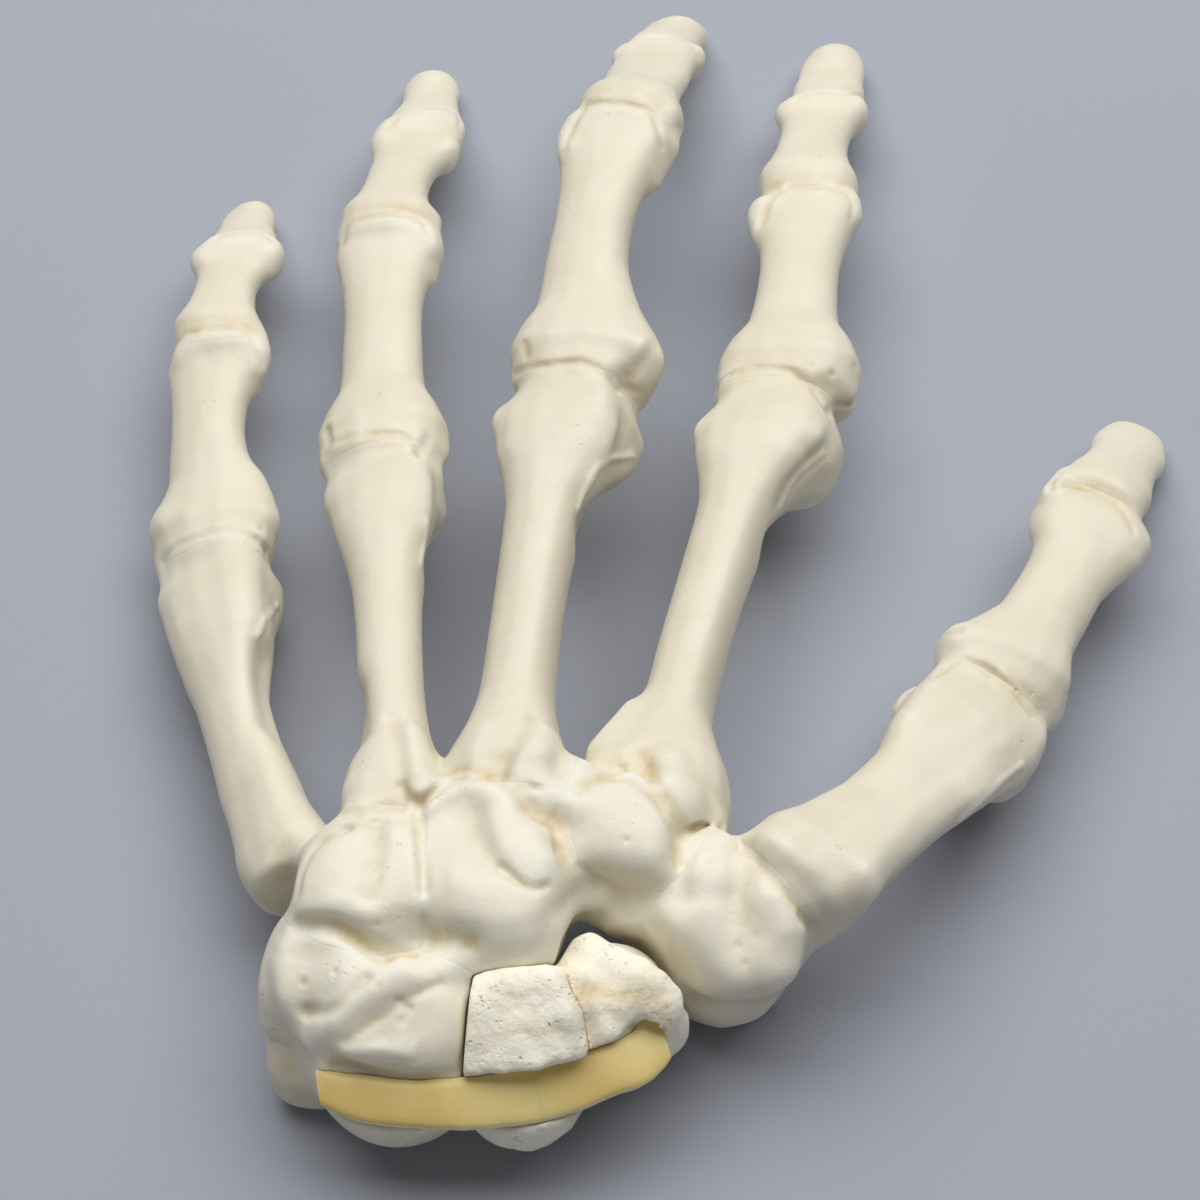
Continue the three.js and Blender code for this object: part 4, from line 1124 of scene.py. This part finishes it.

# %% [markdown]
# ## The strap in two lengths
#
# The strap has to follow three bodies, and a blended piece bends between two. So it is drawn in two
# lengths that meet half way along the near half, where nothing bends, each lying over one gap. The places
# where each length's bend would start and end are found, but no bend is made.

# %% Drawing the strap
BEND = 4  # stations to each side of a gap, where a bend would start and end
middle_of_strap = stations.mean(axis=1)
gap_station, break_station = [
    int(np.argmin(np.linalg.norm(middle_of_strap - np.array(hinges[name]["pos_m"]) / MM, axis=1)))
    for name in ("lunate_gap_hinge", "fracture_hinge")
]
split = (gap_station + break_station) // 2
straps = [ribbon("strap_over_gap", 0, split), ribbon("strap_over_break", split, STRAP_STATIONS - 1)]
gap_bodies = ("hand", "proximal_fragment")
break_bodies = ("proximal_fragment", "distal_fragment")
gap_nodes = ("strap_on_lunate", "strap_on_scaphoid_proximal")
break_nodes = ("strap_on_scaphoid_distal",)
for piece, station, bodies, nodes in (
    (straps[0], gap_station, gap_bodies, gap_nodes),
    (straps[1], break_station, break_bodies, break_nodes),
):
    start, end = [tuple(middle_of_strap[station + way] * MM) for way in (-BEND, BEND)]
    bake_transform(piece)
    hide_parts(*nodes)
print("strap stations of the gap and the break:", gap_station, break_station)

# %% [markdown]
# ## Materials
#
# A picture of a surface wouldn't fit another model, so each material is made of noise and cells with sizes
# in millimetres. One function adds a node and feeds it; a material then reads as the list of its nodes.
# What the fields noted at each point, how hollow it is and how much stain and painted shade it has, says
# where the tints, the painted shade and the painted highlights go.

# %% Material tools
def linear(code):
    """A colour written as sRGB hex, as the linear numbers that Blender wants."""
    parts = [int(code[i : i + 2], 16) / 255 for i in (1, 3, 5)]
    return [p / 12.92 if p <= 0.04045 else ((p + 0.055) / 1.055) ** 2.4 for p in parts] + [1.0]


def size_mm(size):
    """The scale of a texture whose features are that many millimetres across."""
    return 1 / (size * MM)


def feed(made, inputs):
    """Gives a node its inputs: another node's output is linked, and a plain value is set."""
    for key, value in dict(inputs).items():
        if isinstance(value, bpy.types.NodeSocket):
            made.id_data.links.new(value, made.inputs[key])
        else:
            made.inputs[key].default_value = value


def node(tree, kind, settings=(), inputs=(), output=0):
    """Adds a shader node with its settings and inputs, and hands back one of its outputs."""
    made = tree.nodes.new("ShaderNode" + kind)
    for key, value in dict(settings).items():
        setattr(made, key, value)
    feed(made, inputs)
    return made.outputs[output]


def start_material(name):
    """A new material: its tree, its shader, and the place on the object that its patterns follow."""
    material = bpy.data.materials.new(name)
    material.use_nodes = True
    tree = material.node_tree
    return material, tree, tree.nodes["Principled BSDF"], node(tree, "TexCoord", output="Object")


HOLLOW, STAIN_AND_SHADE, RIM = [{"attribute_name": name} for name in ("hollow", "stain_and_shade", "rim")]  # what was noted
COLOURS = {"data_type": "RGBA"}  # a mix node that mixes colours
FIRST, SECOND, MIXED = 6, 7, 2  # its two colours, and its result
TIMES = {"operation": "MULTIPLY"}
TIMES_PLUS = {"operation": "MULTIPLY_ADD"}
print("a pattern of 1 mm has the scale", size_mm(1.0))

# %% [markdown]
# ## Cast foam
#
# The bones are rigid polyurethane foam with the skin that it gets against a mould. Real skin is even and
# satin. What makes it read as a casting here is a yellow tint in each crease, which is painted shade with
# some resin stain, a pale painted highlight on each ridge, a slow change of tone from place to place, and
# tiny bubbles that opened on the skin. The fine grain of the mould is really under a tenth of a millimetre;
# it is drawn at 0.7 mm, to show at all.

# %% The foam's skin
FOAM_IOR = 1.5
SATIN = (0.34, 0.52)  # the roughness where the skin is touched most and least


def cast_foam(name, skin, bloom, crease, bubbles):
    """Moulded polyurethane foam: a satin, slightly waxy skin."""
    material, tree, shader, place = start_material(name)
    hollow = node(tree, "Attribute", HOLLOW, output="Fac")
    stain_and_shade_here = node(tree, "Attribute", STAIN_AND_SHADE, output="Fac")
    clouds = node(tree, "TexNoise", inputs={"Vector": place, "Scale": size_mm(9.0), "Detail": 3.0})
    shade = node(tree, "MapRange", inputs={"Value": clouds, "From Min": 0.35, "From Max": 0.65})
    plain = {"Factor": shade, FIRST: linear(skin), SECOND: linear(bloom)}
    colour = node(tree, "Mix", COLOURS, plain, MIXED)

    # Creases are drawn darker and yellower by how hollow they are: painted shade, plus the marks of stain and
    # shade.
    painted_crease_shade_range = {"Value": hollow, "From Min": 0.05, "From Max": 1.0, "To Max": 0.55}
    tint = node(tree, "MapRange", inputs=painted_crease_shade_range)
    tint = node(tree, "Math", TIMES_PLUS, {0: stain_and_shade_here, 1: 0.55, 2: tint})
    spots = {"Vector": place, "Scale": size_mm(2.2), "Detail": 3.0, "Roughness": 0.6}
    spots = node(tree, "TexNoise", inputs=spots)
    blotches = {"Value": spots, "From Min": 0.25, "From Max": 0.75, "To Max": 1.2}
    tint = node(tree, "Math", TIMES, {0: tint, 1: node(tree, "MapRange", inputs=blotches)})
    colour = node(tree, "Mix", COLOURS, {"Factor": tint, FIRST: colour, SECOND: linear(crease)}, MIXED)

    # Ridges are drawn paler by how far they stand out: a painted highlight.
    on_ridges = {"Value": hollow, "From Min": -0.3, "From Max": -1.2, "To Max": 0.35}
    painted_ridge_highlight = {"Factor": node(tree, "MapRange", inputs=on_ridges), FIRST: colour, SECOND: linear("#F6F2E6")}
    colour = node(tree, "Mix", COLOURS, painted_ridge_highlight, MIXED)

    grease = node(tree, "TexNoise", inputs={"Vector": place, "Scale": size_mm(5.0), "Detail": 3.0})
    satin = {"Value": grease, "From Min": 0.3, "From Max": 0.7, "To Min": SATIN[0], "To Max": SATIN[1]}

    places = node(tree, "TexNoise", inputs={"Vector": place, "Scale": size_mm(6.0)})
    some = {"Value": places, "From Min": 0.62 - bubbles, "From Max": 0.8 - bubbles}
    pocks = node(tree, "TexVoronoi", inputs={"Vector": place, "Scale": size_mm(0.9)})
    open_pocks = {"Value": pocks, "From Min": 0.28, "From Max": 0.05}
    pocks = {0: node(tree, "MapRange", inputs=open_pocks), 1: node(tree, "MapRange", inputs=some)}
    grain = node(tree, "TexNoise", inputs={"Vector": place, "Scale": size_mm(0.7)})
    waves = node(tree, "TexNoise", inputs={"Vector": place, "Scale": size_mm(3.6)})
    normal = node(tree, "Bump", inputs={"Height": grain, "Distance": 0.025 * MM})
    normal = node(tree, "Bump", inputs={"Height": waves, "Distance": 0.16 * MM, "Normal": normal})
    dents = {"Height": node(tree, "Math", TIMES, pocks), "Distance": -0.16 * MM, "Normal": normal}
    feed(shader, {
        "Base Color": colour,
        "Roughness": node(tree, "MapRange", inputs=satin),
        "IOR": FOAM_IOR,
        "Normal": node(tree, "Bump", inputs=dents),
        "Subsurface Weight": 0.12,
        "Subsurface Radius": (1.0, 0.7, 0.4),
        "Subsurface Scale": 1.2 * MM,
    })
    return material


# The third colour of each skin is the painted shade in its creases.
cast_skin = cast_foam("cast_foam_skin", "#E3DBC4", "#E8E0CB", "#D6BF8C", 0.0)
# The paler copy for the wrist is painted light; its extra bubbles are real.
wrist_skin_with_painted_light = cast_foam("cast_foam_skin_with_painted_light", "#E9E2CE", "#EEE8D5", "#D8C598", 0.06)
print("foam's IOR:", FOAM_IOR)

# %% [markdown]
# ## Torn foam
#
# The scaphoid was sawn and torn, so its open cells show. It has no skin and is quite matt. It is drawn whiter
# than the skin, partly its own colour and partly painted light, for the light that its slopes facing the
# camera miss. The eye reads it as broken bone from its crumbs, which catch the light, and from its pores,
# which are drawn yellow and darker inside as painted shade, like its hollows. Cells drawn by distance are
# too regular, so their places are first shifted by a noise.

# %% Open cells
def torn_foam():
    """Open-cell polyurethane foam, sawn and torn: matt, crumbly and full of pores."""
    material, tree, shader, place = start_material("torn_open_cell_foam")
    hollow = node(tree, "Attribute", HOLLOW, output="Fac")
    stain_and_shade_here = node(tree, "Attribute", STAIN_AND_SHADE, output="Fac")
    shift = node(tree, "TexNoise", inputs={"Vector": place, "Scale": size_mm(1.2)}, output="Color")
    shifted = node(tree, "VectorMath", TIMES_PLUS, {0: shift, 1: [0.9 * MM] * 3, 2: place})
    pores = node(tree, "TexVoronoi", inputs={"Vector": shifted, "Scale": size_mm(0.75)})
    pores = node(tree, "MapRange", inputs={"Value": pores, "From Min": 0.36, "From Max": 0.12})
    patches = node(tree, "TexNoise", inputs={"Vector": place, "Scale": size_mm(2.6), "Detail": 3.0})
    patches = node(tree, "MapRange", inputs={"Value": patches, "From Min": 0.5, "From Max": 0.66})
    pores_with_painted_shade = node(tree, "Math", TIMES, {0: pores, 1: patches})

    clouds = node(tree, "TexNoise", inputs={"Vector": place, "Scale": size_mm(5.0)})
    shade = node(tree, "MapRange", inputs={"Value": clouds, "From Min": 0.35, "From Max": 0.65})
    # Whiter than the cast skin: partly the torn foam's own colour, partly painted light for its slopes that
    # face the camera.
    plain = {"Factor": shade, FIRST: linear("#F9F2DC"), SECOND: linear("#FDF8E8")}
    colour = node(tree, "Mix", COLOURS, plain, MIXED)
    # Hollows, marks and pores are drawn darker and yellower: painted shade, with some real yellow in the
    # marks.
    painted_crease_shade_range = {"Value": hollow, "From Min": 0.1, "From Max": 1.2, "To Max": 0.35}
    tint = node(tree, "MapRange", inputs=painted_crease_shade_range)
    tint = node(tree, "Math", TIMES_PLUS, {0: stain_and_shade_here, 1: 0.45, 2: tint})
    tint = node(tree, "Math", TIMES_PLUS, {0: pores_with_painted_shade, 1: 0.5, 2: tint})
    colour = node(tree, "Mix", COLOURS, {"Factor": tint, FIRST: colour, SECOND: linear("#DCC088")}, MIXED)

    fine = {"Vector": place, "Scale": size_mm(0.9), "Detail": 4.0, "Roughness": 0.65}
    normal = node(tree, "Bump", inputs={"Height": node(tree, "TexNoise", inputs=fine), "Distance": 0.17 * MM})
    lumps = node(tree, "TexNoise", inputs={"Vector": place, "Scale": size_mm(3.0)})
    normal = node(tree, "Bump", inputs={"Height": lumps, "Distance": 0.4 * MM, "Normal": normal})
    normal = node(tree, "Bump", inputs={"Height": pores_with_painted_shade, "Distance": -0.13 * MM, "Normal": normal})
    feed(shader, {"Base Color": colour, "Roughness": 0.82, "IOR": FOAM_IOR, "Normal": normal})
    return material


torn = torn_foam()
print("pores about 0.75 mm apart")

# %% [markdown]
# ## Rubber
#
# The strap is soft cast rubber without pigment. Light goes a millimetre or so into it, so it looks pale at
# its thin edges and deeper yellow in its middle, which tells the eye that it is soft; the pale edges are
# painted light. Its surface is satin, with the faint waves of a poured sheet.

# %% The strap's rubber
RUBBER_IOR = 1.5


def poured_rubber():
    """Unpigmented rubber, poured as a sheet: satin, and clouded inside."""
    material, tree, shader, place = start_material("unpigmented_rubber")
    stain_and_shade_here = node(tree, "Attribute", STAIN_AND_SHADE, output="Fac")
    rim = node(tree, "Attribute", RIM, output="Fac")
    clouds = node(tree, "TexNoise", inputs={"Vector": place, "Scale": size_mm(7.0)})
    shade = node(tree, "MapRange", inputs={"Value": clouds, "From Min": 0.3, "From Max": 0.7})
    plain = {"Factor": shade, FIRST: linear("#EBD48A"), SECOND: linear("#F1DE9B")}
    colour = node(tree, "Mix", COLOURS, plain, MIXED)
    tint = node(tree, "Math", TIMES, {0: stain_and_shade_here, 1: 0.7})
    colour = node(tree, "Mix", COLOURS, {"Factor": tint, FIRST: colour, SECOND: linear("#D6B564")}, MIXED)
    # Paler towards both edges: painted light, for light that shows through the thin rubber.
    edge = node(tree, "MapRange", inputs={"Value": rim, "From Min": 0.45, "From Max": 1.0})
    colour = node(tree, "Mix", COLOURS, {"Factor": edge, FIRST: colour, SECOND: linear("#FBF2CF")}, MIXED)
    waves = node(tree, "TexNoise", inputs={"Vector": place, "Scale": size_mm(4.0)})
    grain = node(tree, "TexNoise", inputs={"Vector": place, "Scale": size_mm(0.6)})
    normal = node(tree, "Bump", inputs={"Height": waves, "Distance": 0.1 * MM})
    normal = node(tree, "Bump", inputs={"Height": grain, "Distance": 0.02 * MM, "Normal": normal})
    feed(shader, {
        "Base Color": colour,
        "Roughness": 0.38,
        "IOR": RUBBER_IOR,
        "Normal": normal,
        "Subsurface Weight": 0.3,
        "Subsurface Radius": (1.0, 0.8, 0.5),
        "Subsurface Scale": 1.0 * MM,
    })
    return material


rubber = poured_rubber()
print("rubber's IOR:", RUBBER_IOR)

# %% [markdown]
# ## Painting
#
# The wrist bones of the casting are drawn a little paler than the fingers. The paleness is painted light,
# which stands in for light that these lamps don't give the wrist; their extra bubbles are real.

# %% Painting the pieces
FAR_ROW = ("capitate", "hamate", "trapezoid", "trapezium")
NEAR_ROW = ("triquetrum", "pisiform", "lunate")
# These bones get the paler skin, which is painted light.
BONES_WITH_PAINTED_LIGHT = (*FAR_ROW, *NEAR_ROW, "thumb_sesamoid")
for name, piece in pieces.items():
    piece.data.materials.append(torn if name in FRAGMENTS else wrist_skin_with_painted_light if name in BONES_WITH_PAINTED_LIGHT else cast_skin)
for piece in straps:
    piece.data.materials.append(rubber)
print("painted pieces:", len(pieces) + len(straps))

# %% [markdown]
# ## The stage
#
# The model lies on a plain grey sheet. A large softbox hangs over the fingers, so that each ridge throws a
# soft shade to the viewer's side, and a small weak one near the camera keeps those shades open.

# %% The floor
FLOOR_REACH = 3.0
corners = [(x * FLOOR_REACH, y * FLOOR_REACH, 0) for x, y in ((-1, -1), (1, -1), (1, 1), (-1, 1))]
floor = bpy.data.objects.new("floor", bpy.data.meshes.new("floor"))
floor.data.from_pydata(corners, [], [(0, 1, 2, 3)])
floor_paint = bpy.data.materials.new("matt_grey_sheet")
floor_paint.use_nodes = True
feed(floor_paint.node_tree.nodes["Principled BSDF"], {"Base Color": linear("#A3A7B1"), "Roughness": 0.9})
floor.data.materials.append(floor_paint)
bpy.context.scene.collection.objects.link(floor)
print("floor:", 2 * FLOOR_REACH, "m wide")


# %% The lamps
def softbox(name, place, tilt, size, energy):
    """A rectangular lamp that hangs at a place in metres, turned from straight down by a tilt in degrees."""
    lamp = bpy.data.objects.new(name, bpy.data.lights.new(name, "AREA"))
    lamp.data.shape = "RECTANGLE"
    lamp.data.size, lamp.data.size_y = size
    lamp.data.energy = energy
    lamp.location = place
    lamp.rotation_euler = (math.radians(tilt), 0, 0)
    bpy.context.scene.collection.objects.link(lamp)


softbox("softbox_over_the_fingers", (0.0, 0.51, 1.0), -10, (1.8, 1.3), 21.0)
softbox("softbox_by_the_camera", (0.05, -0.9, 0.6), 56, (1.2, 0.6), 1.1)
world = bpy.data.worlds.new("studio")
world.use_nodes = True
feed(world.node_tree.nodes["Background"], {"Color": (1, 1, 1, 1), "Strength": 0.04})
bpy.context.scene.world = world
bpy.context.scene.view_settings.view_transform = "Standard"
print("lamps:", len(bpy.data.lights))
